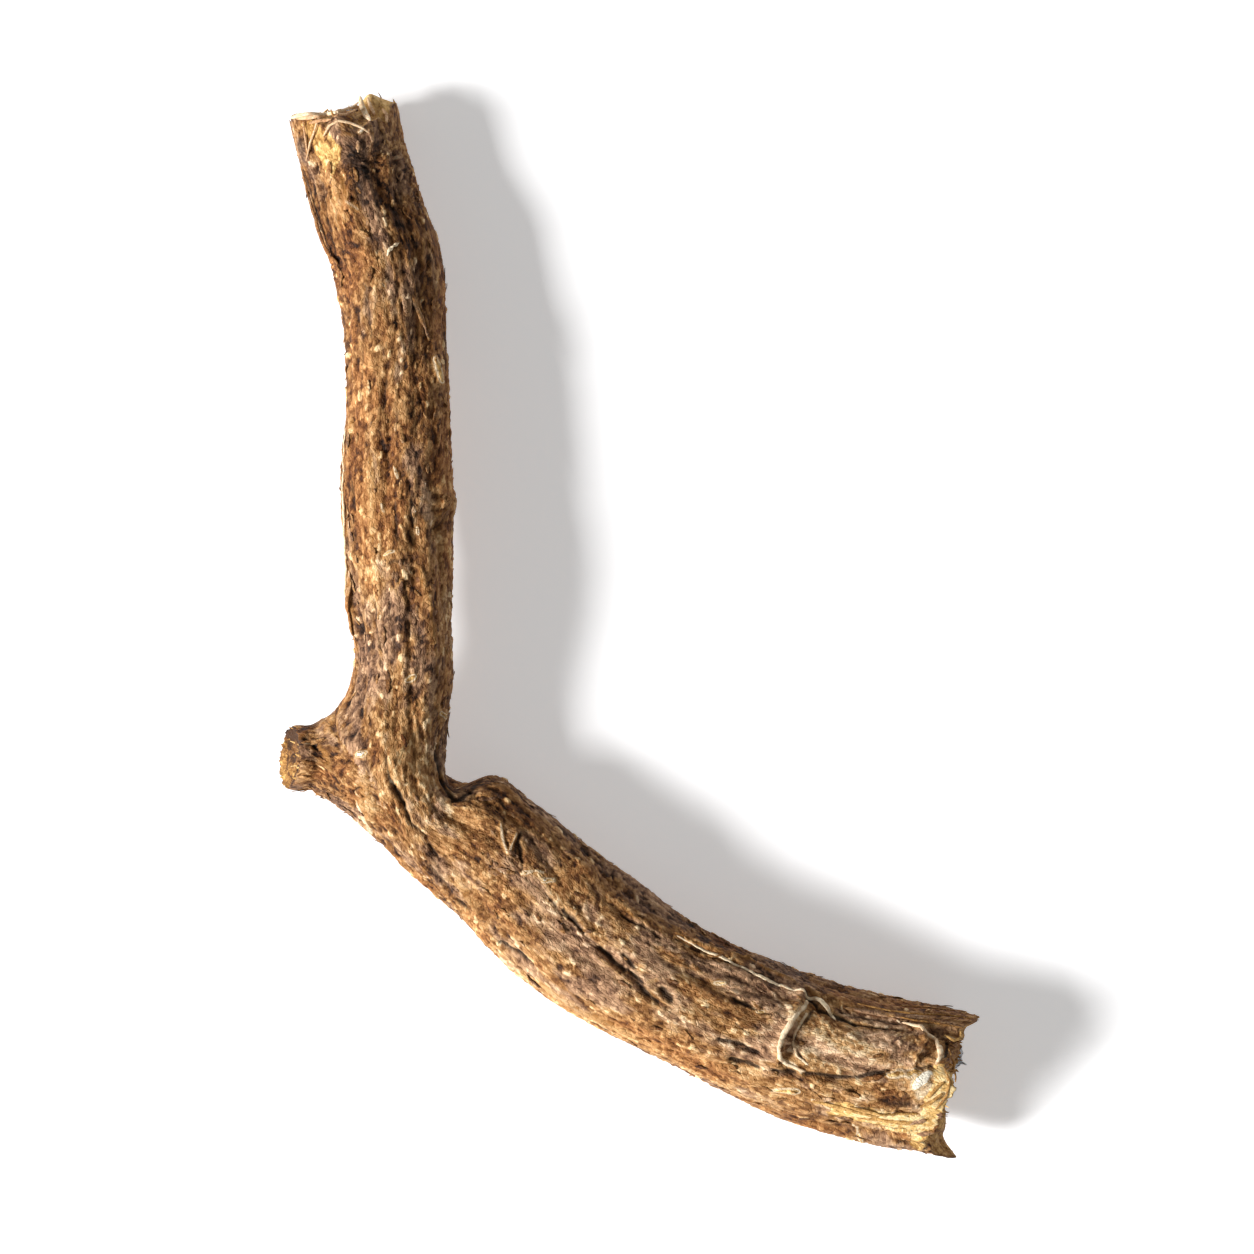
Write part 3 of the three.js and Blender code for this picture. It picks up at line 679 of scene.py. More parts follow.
THIN_SHADES = [
    (12.0, 62, 7.0, 30, -0.07),
    (2.4, -8, 1.0, 20, -0.24),  # purple bark behind the torn end
    (1.66, 24, 0.6, 20, 0.22),  # wedge of wood
    (2.9, 30, 0.8, 14, 0.24),  # tan strip beside it
    # painted light at the fork, where the limb turns away from the key lamp
    (18.8, -14, 1.3, 40, 0.34),
    # painted shade in the deep groove
    (13.6, -12, 1.2, 16, -0.12),
    (3.4, -30, 1.0, 12, -0.1),
    (5.6, 20, 1.2, 22, 0.1),
    (8.2, 44, 1.6, 20, 0.1),
    (10.2, -5, 0.9, 26, -0.1),
    (11.3, 32, 0.9, 9, 0.16),
    (13.6, 22, 0.9, 18, 0.14),  # pale bark between the two edges
    # painted shade on the side that runs into the crotch
    (17.4, -70, 1.4, 30, -0.1),
    (17.5, 0, 1.3, 40, 0.1),
]
THICK_HUES = [
    (2.0, -30, 2.2, 60, -0.5),
    (7.0, -10, 1.2, 30, 0.9),
    (5.4, -60, 1.0, 30, 0.6),
    (2.7, 34, 0.8, 30, 0.8),
    (6.2, 38, 1.2, 14, 0.6),
    # warmer along the worn lower edge, partly painted light
    (10.0, 62, 6.0, 20, 0.8),
    (11.5, -20, 3.0, 40, -0.5),
    (17.6, -20, 1.8, 30, -0.6),
]
THIN_HUES = [
    (8.5, 20, 6.5, 140, 0.5),
    (2.2, -6, 1.6, 30, -0.9),
    (3.2, 38, 1.2, 12, 0.9),
    (8.5, 50, 3.5, 25, 0.6),
    (11.6, 32, 1.2, 12, 1.0),
    (16.6, 10, 2.2, 60, -0.5),
    (13.6, -12, 1.4, 20, 0.6),
    (9.0, -60, 6.0, 25, 0.4),
]


def stroke_bell(past, side, run, sideways, width, unevenness):
    """A bell across a line from nought to run and sideways, with soft ends. The unevenness, about 1,
    widens and deepens it."""
    share = np.clip((past * run + side * sideways) / (run ** 2 + sideways ** 2), 0.0, 1.0)
    distance = np.hypot(past - share * run, side - share * sideways)
    bell = hump(distance, width * unevenness * mix(0.7, 1.0, 4.0 * share * (1.0 - share)))
    return bell * np.minimum(unevenness, 1.0)


def stronger(tone, other):
    """Of two tones, the one that is further from nought."""
    return np.where(np.abs(tone) > np.abs(other), tone, other)


def strokes(rows, along, around, radius, drift, unevenness):
    """Strokes on a limb's length and angle, on places that have drifted a little. Gives height and
    tone."""
    height = np.zeros(along.shape)
    tone = np.zeros(along.shape)
    degrees_to_mm = np.radians(1.0) * radius
    for a0, r0, a1, r1, width, rise, colour in rows:
        run_around = turn(r0, r1) * degrees_to_mm
        side = turn(r0, around) * degrees_to_mm - drift
        bell = stroke_bell(along - a0 + drift, side, a1 - a0, run_around, width, unevenness)
        height += rise * bell
        tone = stronger(tone, colour * bell)
    return height, tone


def fork_strokes(point, outward):
    """Strokes on x and y, on the upper side only. Gives height and tone."""
    height = np.zeros(point.shape[:-1])
    tone = np.zeros(point.shape[:-1])
    upper = ramp(outward[..., 2], 0.05, 0.35)
    drift = 0.05 * lattice_noise(point * 2.5, 65)
    unevenness = 1.0 + 0.4 * lattice_noise(point * 3.5, 66)
    for x0, y0, x1, y1, width, rise, colour in FORK_STROKES:
        past, side = point[..., 0] - x0 + drift, point[..., 1] - y0 - drift
        bell = upper * stroke_bell(past, side, x1 - x0, y1 - y0, width, unevenness)
        height += rise * bell
        tone = stronger(tone, colour * bell)
    return height, tone


class Limb:
    """A curve with a thickness, and side and top directions at each place along it."""

    def __init__(self, rows, thickness, relief, wood, twist, stroke_rows, patches, ends, grain_start):
        self.rows = rows * np.array([1.0, 1.0, 1.0, thickness / 2.0])
        self.relief = relief
        self.wood = wood
        self.twist = twist
        self.stroke_rows = stroke_rows
        self.patches = patches
        self.ends = ends
        self.grain_start = grain_start
        shares = np.linspace(0.0, 1.0, 601)
        points = self.spline(shares)[0][:, :3]
        steps = np.linalg.norm(np.diff(points, axis=0), axis=1)
        self.shares = shares
        self.lengths = np.concatenate([[0.0], np.cumsum(steps)])
        self.length = self.lengths[-1]
        self.places = np.linspace(0.0, self.length, STATIONS)
        self.points, self.tangents, self.sides, self.tops, self.radii = self.station(self.places)
        self.squares = np.sum(self.points ** 2, axis=1)
        self.end_sizes = (self.radii[0], 0.0 if ends[1] is buried_end else self.radii[-1])

    def spline(self, share):
        """Catmull-Rom curve through the rows and its slope. The ends are carried on straight."""
        rows = self.rows
        padded = np.vstack([2 * rows[0] - rows[1], rows, 2 * rows[-1] - rows[-2]])
        place = np.clip(share, 0.0, 1.0) * (len(rows) - 1)
        leg = np.minimum(place.astype(int), len(rows) - 2)
        u = (place - leg)[..., None]
        a, b, c, d = (padded[leg + k] for k in range(4))
        second = 2 * a - 5 * b + 4 * c - d
        third = 3 * b - a - 3 * c + d
        value = 0.5 * (2 * b + (c - a) * u + second * u ** 2 + third * u ** 3)
        slope = 0.5 * (c - a + 2 * second * u + 3 * third * u ** 2)
        return value, slope

    def station(self, along):
        """Point, tangent, side, top and radius at each length along the curve."""
        value, slope = self.spline(np.interp(along, self.lengths, self.shares))
        tangent = unit(slope[..., :3])
        side = unit(np.cross(tangent, [0.0, 0.0, 1.0]))
        return value[..., :3], tangent, side, np.cross(side, tangent), value[..., 3]

    def locate(self, points):
        """Nearest place on the curve: length along it, degrees around it, sideways offset, height
        above it, distance off the smooth tube and the direction away from the curve."""
        flat = points.reshape(-1, 3)
        pieces = np.array_split(flat, len(flat) // 8192 + 1)
        nearest = np.concatenate([(self.squares - 2.0 * p @ self.points.T).argmin(1) for p in pieces])
        tangent = self.tangents[nearest]
        offset = flat - self.points[nearest]
        pitch = self.places[1]
        slip = np.sum(offset * tangent, axis=1)
        lowest = np.where(nearest == 0, 0.0, -pitch)
        highest = np.where(nearest == STATIONS - 1, 0.0, pitch)
        held = np.clip(slip, lowest, highest)
        offset = offset - held[:, None] * tangent
        lateral = np.sum(offset * self.sides[nearest], axis=1)
        above = np.sum(offset * self.tops[nearest], axis=1)
        along = self.places[nearest] + slip
        distance = np.linalg.norm(offset, axis=1)
        gap = distance - np.interp(along, self.places, self.radii)
        around = np.degrees(np.arctan2(lateral, above))
        found = [value.reshape(points.shape[:-1]) for value in (along, around, lateral, above, gap)]
        return (*found, unit(offset).reshape(points.shape))

    def lean(self, along, around):
        """How far the side is drawn along the limb near a torn end, so that its rim meets the face."""
        start, end = (face(1.0, around) + end_jags(around, size)
                      for face, size in zip(self.ends, self.end_sizes))
        near_start = 1.0 - ramp(along, 0.0, END_LEAN)
        return end * ramp(along, self.length - END_LEAN, self.length) - start * near_start

    def unleaned(self, seen, around):
        """The length along that is drawn to the seen length, found by repeated correction."""
        along = seen
        for _ in range(8):
            along = seen - self.lean(along, around)
        return np.clip(along, 0.0, self.length)

    def stroked(self, along, around, radius, grain):
        """Height and tone of the limb's strokes, drifted and made uneven by noise on the grain."""
        drift = 0.07 * lattice_noise(grain * 2.5, 67)
        unevenness = 1.0 + 0.45 * lattice_noise(grain * 3.5, 68)
        return strokes(self.stroke_rows, along, around, radius, drift, unevenness)


def blend(a, b, reach):
    """Smooth minimum of two distances, which fills the corner between them over the reach."""
    overlap = np.maximum(reach - np.abs(a - b), 0.0) / reach
    return np.minimum(a, b) - overlap ** 2 * reach / 4.0


def grown_radius(other, thin, centres, directions, radii):
    """The radius at which a ray from a limb's centre leaves the two tubes grown together, found by
    halving. Past the seam the ray stops short, so that this skin dives under the other."""
    grown = radii.copy()
    tips = centres + directions * radii[..., None]
    near = other.locate(tips)[4] < WEB_REACH + 0.1
    centre, direction, radius = centres[near], directions[near], radii[near]
    low = radius * PULL_IN
    high = radius + WEB_REACH / 4.0
    for _ in range(HALVINGS):
        trial = (low + high) / 2.0
        point = centre + direction * trial[:, None]
        own = trial - radius
        far = other.locate(point)[4]
        along, _, lateral, _, _, _ = thin.locate(point)
        web = ramp(lateral, *WEB_LATERAL) * (1.0 - ramp(along, *WEB_FADE))
        past = own - far
        under = TUCK * ramp(past, *TUCK_SPAN) + SINK * ramp(past, *SINK_SPAN)
        outside = blend(own, far, mix(CROTCH_REACH, WEB_REACH, web)) + under > 0.0
        high = np.where(outside, trial, high)
        low = np.where(outside, low, trial)
    grown[near] = low
    return grown


# Fine bark, worked out on grain coordinates: sideways, upward and along the limb


def fissures(points, width, seed):
    """Lines where a noise crosses zero: 1 on the line, falling to 0 at the width."""
    return np.clip(1.0 - np.abs(lattice_noise(points, seed)) / width, 0.0, 1.0) ** 1.5


# Rows of pitch across the grain, pitch along it, width, seed, depth, darkness
FISSURES = [
    (0.8, 0.14, 0.34, 34, 0.055, 0.1),  # wrinkles
    (1.9, 0.33, 0.34, 36, 0.03, 0.08),  # small wrinkles
    (1.3, 0.2, 0.1, 31, 0.045, 0.22),  # creases, here and there
    (3.4, 0.6, 0.13, 37, 0.02, 0.12),  # hairlines, in patches
    (0.5, 1.7, 0.05, 39, 0.025, 0.2),  # cracks across the grain
]


def fine_bark(grain):
    """Small relief of the bark and its shade: lumps, wrinkles with the grain where drifted noise
    crosses zero, scales and chips in cells drawn out along the grain, each tilted its own way, and
    fine grains. Ridges are paler and valleys are darker."""
    slow = grain * np.array([1.0, 1.0, 0.3])
    drift = 0.25 * np.stack([lattice_noise(slow * 1.2 + k * 7.3, 20 + k) for k in range(3)], axis=-1)
    bent = grain + drift * np.array([1.0, 1.0, 2.0])
    patchy = ramp(layered_noise(slow * 0.7, 41), -0.3, 0.45)
    _, edge, number, way = cell_pattern(bent / np.array([0.26, 0.26, 0.62]), 43)
    _, small_edge, small_number, small_way = cell_pattern(bent / np.array([0.11, 0.11, 0.19]), 47)
    scales = 0.04 * (number - 0.5) + 0.05 * way[..., 2] * (number - 0.4)
    scales = scales - 0.02 * (1.0 - ramp(edge, 0.0, 0.2))
    chips = 0.024 * (small_number - 0.5) + 0.02 * small_way[..., 2]
    chips = chips - 0.01 * (1.0 - ramp(small_edge, 0.0, 0.3))
    lumps = 0.06 * layered_noise(grain * np.array([0.6, 0.6, 0.45]), 59)
    grains = layered_noise(grain * np.array([6.0, 6.0, 3.5]), 53)
    pits = ramp(number, 0.97, 0.98) * ramp(edge, 0.04, 0.25)
    flecks = ramp(small_number, 0.98, 0.985) * ramp(small_edge, 0.05, 0.2)
    blotches = layered_noise(slow * np.array([1.1, 1.1, 1.6]), 49)
    height = lumps + scales * mix(0.25, 1.0, patchy) + chips + 0.014 * grains + 0.03 * flecks
    shade = 0.17 * (number - 0.5) * mix(0.4, 1.0, patchy) + 0.46 * (small_number - 0.5) + 0.04 * grains
    shade = shade + 0.13 * blotches + 0.03
    where = (1.0, 1.0, ramp(lattice_noise(slow * 0.9, 33), -0.05, 0.3), ramp(patchy, 0.1, 0.7),
             ramp(lattice_noise(grain * 0.8, 45), 0.1, 0.3))
    for (across, lengthwise, width, seed, depth, darkness), share in zip(FISSURES, where):
        line = fissures(bent * np.array([across, across, lengthwise]), width, seed) * share
        height = height - depth * line
        shade = shade - darkness * line
    return np.stack([height - 0.05 * pits, shade - 0.3 * pits + 0.5 * flecks])


def limb_grain(limb, lateral, above, along):
    """Grain coordinates of a place on a limb: sideways, upward, and along from the fork."""
    return np.stack([lateral, above, along - limb.grain_start], axis=-1)


def merged_bark(own_grain, far_grain, share):
    """Fine bark of both limbs, crossfaded by the share so that the roughness stays the same."""
    near = share < 1.0
    fine = fine_bark(own_grain)
    own, far, part = fine[:, near], fine_bark(far_grain[near]), share[near]
    fine[:, near] = (own * part + far * (1.0 - part)) / np.hypot(part, 1.0 - part)
    return fine


def end_jags(around, size):
    """Ragged rim of a torn end: noise round the rim at two pitches, as high as the limb is thick."""
    angle = np.radians(around)
    rim = np.stack([np.cos(angle), np.sin(angle), np.full_like(angle, size)], axis=-1)
    return size * (0.08 * lattice_noise(rim * 4.5, 61) + 0.06 * lattice_noise(rim * 13.0, 62))


def end_roughness(grain, share):
    """Torn fibres on an end face: sharp noise that fades out towards the rim."""
    sharp = np.abs(lattice_noise(grain * np.array([1.9, 1.9, 0.0]), 63))
    finer = layered_noise(grain * np.array([5.0, 5.0, 0.0]), 64)
    return (0.2 * (sharp - 0.3) + 0.04 * finer) * (1.0 - share ** 6)


# What colour the end faces have
# Rows of how far left and how far up, as shares of the radius, width, shade, bark in place of wood
STUB_TINTS = [(0.0, 0.0, 1.2, -0.32, 0.25), (-0.55, 0.4, 0.3, -1.2, 0.1), (0.85, 0.4, 0.4, -0.1, 0.95),
              (-0.8, -0.45, 0.24, -1.3, 0.2), (-0.92, 0.1, 0.25, -1.4, 0.2), (0.3, 0.3, 0.2, -0.35, 0.4),
              (0.0, -0.3, 0.14, -0.4, 0.3), (-0.35, -0.55, 0.12, -0.4, 0.3), (0.25, -0.85, 0.22, 0.15, 0.0),
              (0.62, -0.65, 0.22, 0.2, 0.0), (-0.05, 0.6, 0.2, 0.3, 0.0), (0.45, -0.1, 0.2, 0.25, 0.0)]
LOWER_TINTS = [(0.0, 0.9, 0.3, 0.15, 0.0), (-0.3, 0.1, 0.35, -0.3, 0.2), (0.6, 0.5, 0.3, 0.1, 0.0)]
UPPER_TINTS = [(0.0, 0.0, 3.0, -0.02, 0.3), (0.85, 0.3, 0.35, -0.1, 1.0), (0.0, 0.8, 0.3, 0.05, 0.9),
               (-0.6, 0.1, 0.34, 0.3, 0.0), (0.25, 0.35, 0.2, -0.35, 0.5), (0.2, -0.85, 0.3, -0.2, 0.9),
               (0.45, -0.5, 0.18, 0.3, 0.0), (0.1, -0.5, 0.18, 0.25, 0.0)]


def end_tints(rows, share, around):
    """Shade of an end face and how much of it is wood: sums of round bells."""
    angle = np.radians(around)
    shade = 0.0 * share * angle
    wood = 1.0 + 0.0 * shade
    for left, up, width, darker, barked in rows:
        bell = hump(np.hypot(share * np.sin(angle) - left, share * np.cos(angle) - up), width)
        shade = shade + darker * bell
        wood = wood * (1.0 - barked * bell)
    return shade, wood


END_TINTS = {scar_end: STUB_TINTS, torn_end: LOWER_TINTS, broken_end: UPPER_TINTS, buried_end: []}


class Skin:
    """A limb's whole bark on a grid. Rows run from the start's middle over the rim, along the side
    and in to the far end's middle, and columns run round."""

    def __init__(self, limb, other, thin, rings, columns, cap_rings):
        self.limb = limb
        self.rings = rings
        self.columns = columns
        along = np.linspace(0.0, limb.length, rings)[:, None]
        turns = np.linspace(0.0, 2.0 * np.pi, columns, endpoint=False)[None, :]
        around = turn(0.0, np.degrees(turns - limb.twist(along)))
        along = np.broadcast_to(along, around.shape)
        centre, tangent, side, top, radius = limb.station(along)
        angle = np.radians(around)[..., None]
        direction = side * np.sin(angle) + top * np.cos(angle)
        grown = grown_radius(other, thin, centre, direction, radius)
        point = centre + direction * grown[..., None]
        there_along, there_around, lateral, above, gap, away = other.locate(point)
        lead = gap - (grown - radius)
        share = ramp(lead, -SHARE_WIDTH, SHARE_WIDTH)
        outward = unit(mix(away, direction, share[..., None]))
        height = mix(other.relief(there_along, there_around), limb.relief(along, around), share)
        lean = limb.lean(along, around)
        seen = along + lean

        own_grain = limb_grain(limb, grown * np.sin(angle[..., 0]), grown * np.cos(angle[..., 0]), along)
        far_grain = limb_grain(other, lateral, above, there_along)
        fine, shade = merged_bark(own_grain, far_grain, ramp(lead, -GRAIN_SHARE, GRAIN_SHARE))
        own_stroke = limb.stroked(seen, around, radius, own_grain)
        far_stroke = other.stroked(there_along, there_around, radius, far_grain)
        stroke_height, tone = (mix(b, a, share) for a, b in zip(own_stroke, far_stroke))
        fork_height, fork_tone = fork_strokes(point, outward)
        tone = stronger(tone, fork_tone)
        shades, hues = (mix(marks(other_rows, there_along, there_around), marks(rows, seen, around), share)
                        for other_rows, rows in zip(other.patches, limb.patches))
        shade = shade + shades
        bare = mix(other.wood(there_along, there_around), limb.wood(seen, around), share)
        fine = fine * mix(1.0, 0.45, bare) * mix(0.4, 1.0, ramp(along, 0.2, 1.2))
        fine = fine * mix(1.0, 0.35, ramp(tone, 1.7, 2.4))
        point = point + outward * (height + fine + stroke_height + fork_height)[..., None]

        point = point + tangent * lean[..., None]
        self.side = point
        self.outward = outward
        self.visible = share
        self.grain = own_grain
        fields = {"shade": shade, "tone": tone, "hue": hues, "bare": bare, "end_grain": np.zeros(bare.shape)}
        start_cap = self.cap(0, cap_rings, -1.0, limb.ends[0], limb.end_sizes[0])
        end_cap = self.cap(-1, cap_rings, 1.0, limb.ends[1], limb.end_sizes[1])
        grids = [point, own_grain, *fields.values()]
        joined = [np.concatenate([s[::-1], g, e]) for s, g, e in zip(start_cap, grids, end_cap)]
        self.points, self.grains = joined[:2]
        self.fields = dict(zip(fields, joined[2:]))
        self.faces = {-1.0: start_cap[0], 1.0: end_cap[0]}

    def cap(self, row, cap_rings, way, face, size):
        """Rows of an end face from just inside the rim to just short of the middle: the rim shrunk
        towards the centre line, standing out by the face's relief."""
        limb = self.limb
        along = 0.0 if row == 0 else limb.length
        centre, tangent, _, _, _ = limb.station(np.array([along]))
        turns = np.linspace(0.0, 2.0 * np.pi, self.columns, endpoint=False)
        around = turn(0.0, np.degrees(turns - limb.twist(along)))[None, :]
        share = (1.0 - np.linspace(0.0, 1.0, cap_rings + 2)[1:-1] ** 1.2)[:, None]
        jags = end_jags(around, size)
        rim = self.side[row] - tangent * (way * (face(1.0, around) + jags))[0][:, None] - centre
        shrunk = np.concatenate([share, share, np.ones(share.shape)], axis=1)[:, None, :]
        grain = self.grain[row][None] * shrunk
        rough = end_roughness(grain, share) * size / 2.0
        lean = face(share, around) + jags * share ** 4 + rough
        points = centre + rim[None] * share[..., None] + tangent * (way * lean)[..., None]
        tint, wood = end_tints(END_TINTS[face], share, around)
        shade = 1.6 * rough - 0.25 * hump(share - 0.66, 0.03) + tint
        none = np.zeros(shade.shape)
        wood = wood * ramp(share, 1.0, 0.93)
        return [points, grain, shade, none, none, wood, wood]

    def at(self, seen, around):
        """Point, outward direction, grain and how far it shows, at any place on the side."""
        limb = self.limb
        along = limb.unleaned(seen, around)
        row = np.clip(along / limb.length, 0.0, 1.0) * (self.rings - 1.001)
        column = np.mod(np.radians(around) + limb.twist(along), 2.0 * np.pi) / (2.0 * np.pi) * self.columns
        r, c = row.astype(int), column.astype(int) % self.columns
        u, v = row - r, column - np.floor(column)
        found = []
        for grid in (self.side, self.outward, self.grain, self.visible[..., None]):
            after = (c + 1) % self.columns
            low = mix(grid[r, c], grid[r, after], v[..., None])
            high = mix(grid[r + 1, c], grid[r + 1, after], v[..., None])
            found.append(mix(low, high, u[..., None]))
        return found[0], unit(found[1]), found[2], found[3][..., 0]


def add_mesh(name, points, faces, fields, vectors):
    """A smooth mesh from points in millimetres, with fields as attributes of the same names."""
    vertices = (points - CENTRE) * MM
    vertices[:, 2] = np.maximum(vertices[:, 2], 0.0)
    mesh = bpy.data.meshes.new(name)
    mesh.from_pydata(vertices, [], faces)
    for label, values in fields.items():
        mesh.attributes.new(label, "FLOAT", "POINT").data.foreach_set("value", values.astype(np.float32))
    for label, values in vectors.items():
        flat = values.astype(np.float32).reshape(-1)
        mesh.attributes.new(label, "FLOAT_VECTOR", "POINT").data.foreach_set("vector", flat)
    mesh.polygons.foreach_set("use_smooth", np.ones(len(mesh.polygons), bool))
    mesh.update()
    piece = bpy.data.objects.new(name, mesh)
    bpy.context.collection.objects.link(piece)
    return piece


def tube_faces(rows, columns):
    """Faces over a grid of points that closes on itself, and the fans of three-sided faces to one
    more point at each end."""
    first = np.arange((rows - 1) * columns)
    after = first - first % columns + (first + 1) % columns
    quads = np.stack([first, after, after + columns, first + columns], axis=1)
    ring = np.arange(columns)
    turned = (ring + 1) % columns
    last = (rows - 1) * columns
    tip = np.full(columns, rows * columns)
    start_fan = np.stack([tip, turned, ring], axis=1)
    end_fan = np.stack([tip + 1, ring + last, turned + last], axis=1)
    return quads, np.concatenate([start_fan, end_fan])


def skin_mesh(name, skin):
    """A closed mesh of a skin's grid, with a point in the middle of each end."""
    rows, columns = skin.points.shape[:2]
    quads, fans = tube_faces(rows, columns)

    def closed(grid):
        """A grid as a list, with the mean of its first and last rows at its end."""
        flat = grid.reshape(rows * columns, -1)
        ends = np.stack([flat[:columns].mean(0), flat[-columns:].mean(0)])
        return np.concatenate([flat, ends])

    fields = {label: closed(grid)[:, 0] for label, grid in skin.fields.items()}
    faces = [*quads.tolist(), *fans.tolist()]
    return add_mesh(name, closed(skin.points), faces, fields, {"grain": closed(skin.grains)})


thick = Limb(THICK_PATH, THICK_LIMB, thick_relief, thick_wood, thick_twist, THICK_STROKES,
             (THICK_SHADES, THICK_HUES), (scar_end, torn_end), 0.0)
thin = Limb(THIN_PATH, THIN_LIMB, thin_relief, thin_wood, thin_twist, THIN_STROKES,
            (THIN_SHADES, THIN_HUES), (broken_end, buried_end), GRAIN_OFFSET)


# Small pieces: flakes, curled rims, splinters and fibres are all strands, flat or round


def strand_mesh(name, paths, facing, half_width, half_height, sides, shades, grains=None):
    """Closed strands. Each carries an ellipse along its path, half width across, half height along
    the way that it faces, and ends in a point. Arrays run over strands and places on each."""
    count, places = paths.shape[:2]
    forward = unit(np.gradient(paths, axis=1))
    across = unit(np.cross(forward, facing))
    up = np.cross(across, forward)
    angle = np.linspace(0.0, 2.0 * np.pi, sides, endpoint=False)
    ring = across[:, :, None] * (half_width[..., None] * np.cos(angle))[..., None]
    ring = ring + up[:, :, None] * (half_height[..., None] * np.sin(angle))[..., None]
    rings = (paths[:, :, None] + ring).reshape(count, places * sides, 3)
    start_tip = paths[:, 0] - forward[:, 0] * half_width[:, :1]
    end_tip = paths[:, -1] + forward[:, -1] * half_width[:, -1:]
    points = np.concatenate([rings, start_tip[:, None], end_tip[:, None]], axis=1)
    size = places * sides + 2
    quads, fans = tube_faces(places, sides)
    offsets = (np.arange(count) * size)[:, None, None]
    faces = (quads[:, [0, 3, 2, 1]] + offsets).reshape(-1, 4).tolist()
    faces += (fans[:, [0, 2, 1]] + offsets).reshape(-1, 3).tolist()
    fields = {"shade": np.repeat(shades, size)}
    grain = points if grains is None else points * 0.0 + grains[:, None] + (points - points[:, :1])
    return add_mesh(name, points.reshape(-1, 3), faces, fields, {"grain": grain.reshape(-1, 3)})


def leaf(places, fullness=0.5):
    """Widths of a flat leaf: a sine arch from end to end, raised to a power."""
    return np.sin(np.pi * np.linspace(0.04, 0.96, places)) ** fullness


def flakes(name, skin, count, seed):
    """Small plates of bark, each lying along the grain with one end lifted by the square of the
    share along it, and with an uneven outline."""
    rng = np.random.default_rng(seed)
    places = 7
    along = rng.uniform(0.3, skin.limb.length - 0.5, count)
    around = rng.uniform(-180.0, 180.0, count)
    length = np.clip(rng.gamma(3.0, 0.07, count) + 0.07, 0.1, 0.6)
    heading = rng.normal(0.0, 0.3, count)
    steps = np.linspace(-0.5, 0.5, places)
    radius = np.interp(along, skin.limb.places, skin.limb.radii)
    far = along[:, None] + length[:, None] * steps * np.cos(heading)[:, None]
    wide = around[:, None] + np.degrees(length * np.sin(heading) / radius)[:, None] * steps
    points, outward, grain, visible = skin.at(far, wide)
    raised = (0.5 + rng.choice([-1.0, 1.0], count)[:, None] * steps) ** 2
    lift = raised * rng.uniform(0.01, 0.06, count)[:, None]
    points = points + outward * (lift + 0.004)[..., None]
    outline = leaf(places, 0.4) * rng.uniform(0.7, 1.2, (count, places))
    half_width = np.clip(0.22 * length, 0.03, 0.09)[:, None] * outline
    keep = (visible.min(1) > 0.7) & (points[..., 2].min(1) > 0.15)
    shades = np.clip(rng.normal(0.0, 0.12, count), -0.25, 0.3)
    half_height = np.full((count, places), 0.012)
    kept = (values[keep] for values in (points, outward, half_width, half_height))
    return strand_mesh(name, *kept, 6, shades[keep], grain.mean(1)[keep])


def along_rows(rows, places):
    """Places spread evenly over rows of along and around, by straight lines between them."""
    rows = np.array(rows, float)
    share = np.linspace(0.0, len(rows) - 1.0, places)
    index = np.arange(len(rows))
    return np.interp(share, index, rows[:, 0]), np.interp(share, index, rows[:, 1])


def curled_rims(name, skins, rims, places, seed):
    """Curled edges of bark plates, strips and slivers. Each row gives the skin, its places, half
    width, half height and lift. The width wanders with noise along the edge."""
    rng = np.random.default_rng(seed)
    paths, facing, widths, heights = [], [], [], []
    for which, rows, half_width, half_height, lift in rims:
        along, around = along_rows(rows, places)
        point, outward, _, _ = skins[which].at(along, around)
        wander = np.convolve(rng.normal(size=places + 8), np.ones(9) / 3.0, "valid")
        paths.append(point + outward * (lift * leaf(places))[:, None])
        facing.append(outward)
        widths.append(half_width * leaf(places, 0.4) * (1.0 + 0.22 * wander))
        heights.append(half_height * leaf(places, 0.4))
    arrays = [np.stack(v) for v in (paths, facing, widths, heights)]
    return strand_mesh(name, *arrays, 8, rng.uniform(-0.05, 0.1, len(rims)))


STRAND_SEARCH = 0.12  # how far around a strand the highest point is looked for
STRAND_HANG = 0.6  # how far a strand may hang below its own highest place


def laid_strands(name, skin, rows, places):
    """Strands seen from above. Each row gives its places in x and y, half width, lift and shade.
    At each place it lies on the highest point of the skin nearby, but hangs down only so far."""
    cloud = skin.points.reshape(-1, 3)
    paths, widths, shades = [], [], []
    for line, half_width, lift, shade in rows:
        x, y = along_rows(line, places)
        low, high = np.array([x.min(), y.min()]) - 0.2, np.array([x.max(), y.max()]) + 0.2
        near = cloud[np.all((cloud[:, :2] > low) & (cloud[:, :2] < high), axis=1)]
        distance = np.hypot(near[:, 0] - x[:, None], near[:, 1] - y[:, None])
        top = np.where(distance < STRAND_SEARCH, near[:, 2], -1.0).max(axis=1)
        found = top >= 0.0
        top = np.interp(np.arange(places), np.arange(places)[found], top[found])
        top = np.maximum(top, top.max() - STRAND_HANG)
        top = np.convolve(np.pad(top, 2, "edge"), np.ones(5) / 5.0, "valid")
        paths.append(np.stack([x, y, top + lift], axis=1))
        widths.append(half_width * leaf(places, 0.35))
        shades.append(shade)
    paths, widths = np.stack(paths), np.stack(widths)
    facing = np.zeros(paths.shape) + np.array([0.0, 0.0, 1.0])
    return strand_mesh(name, paths, facing, widths, widths * 0.6, 8, np.array(shades))


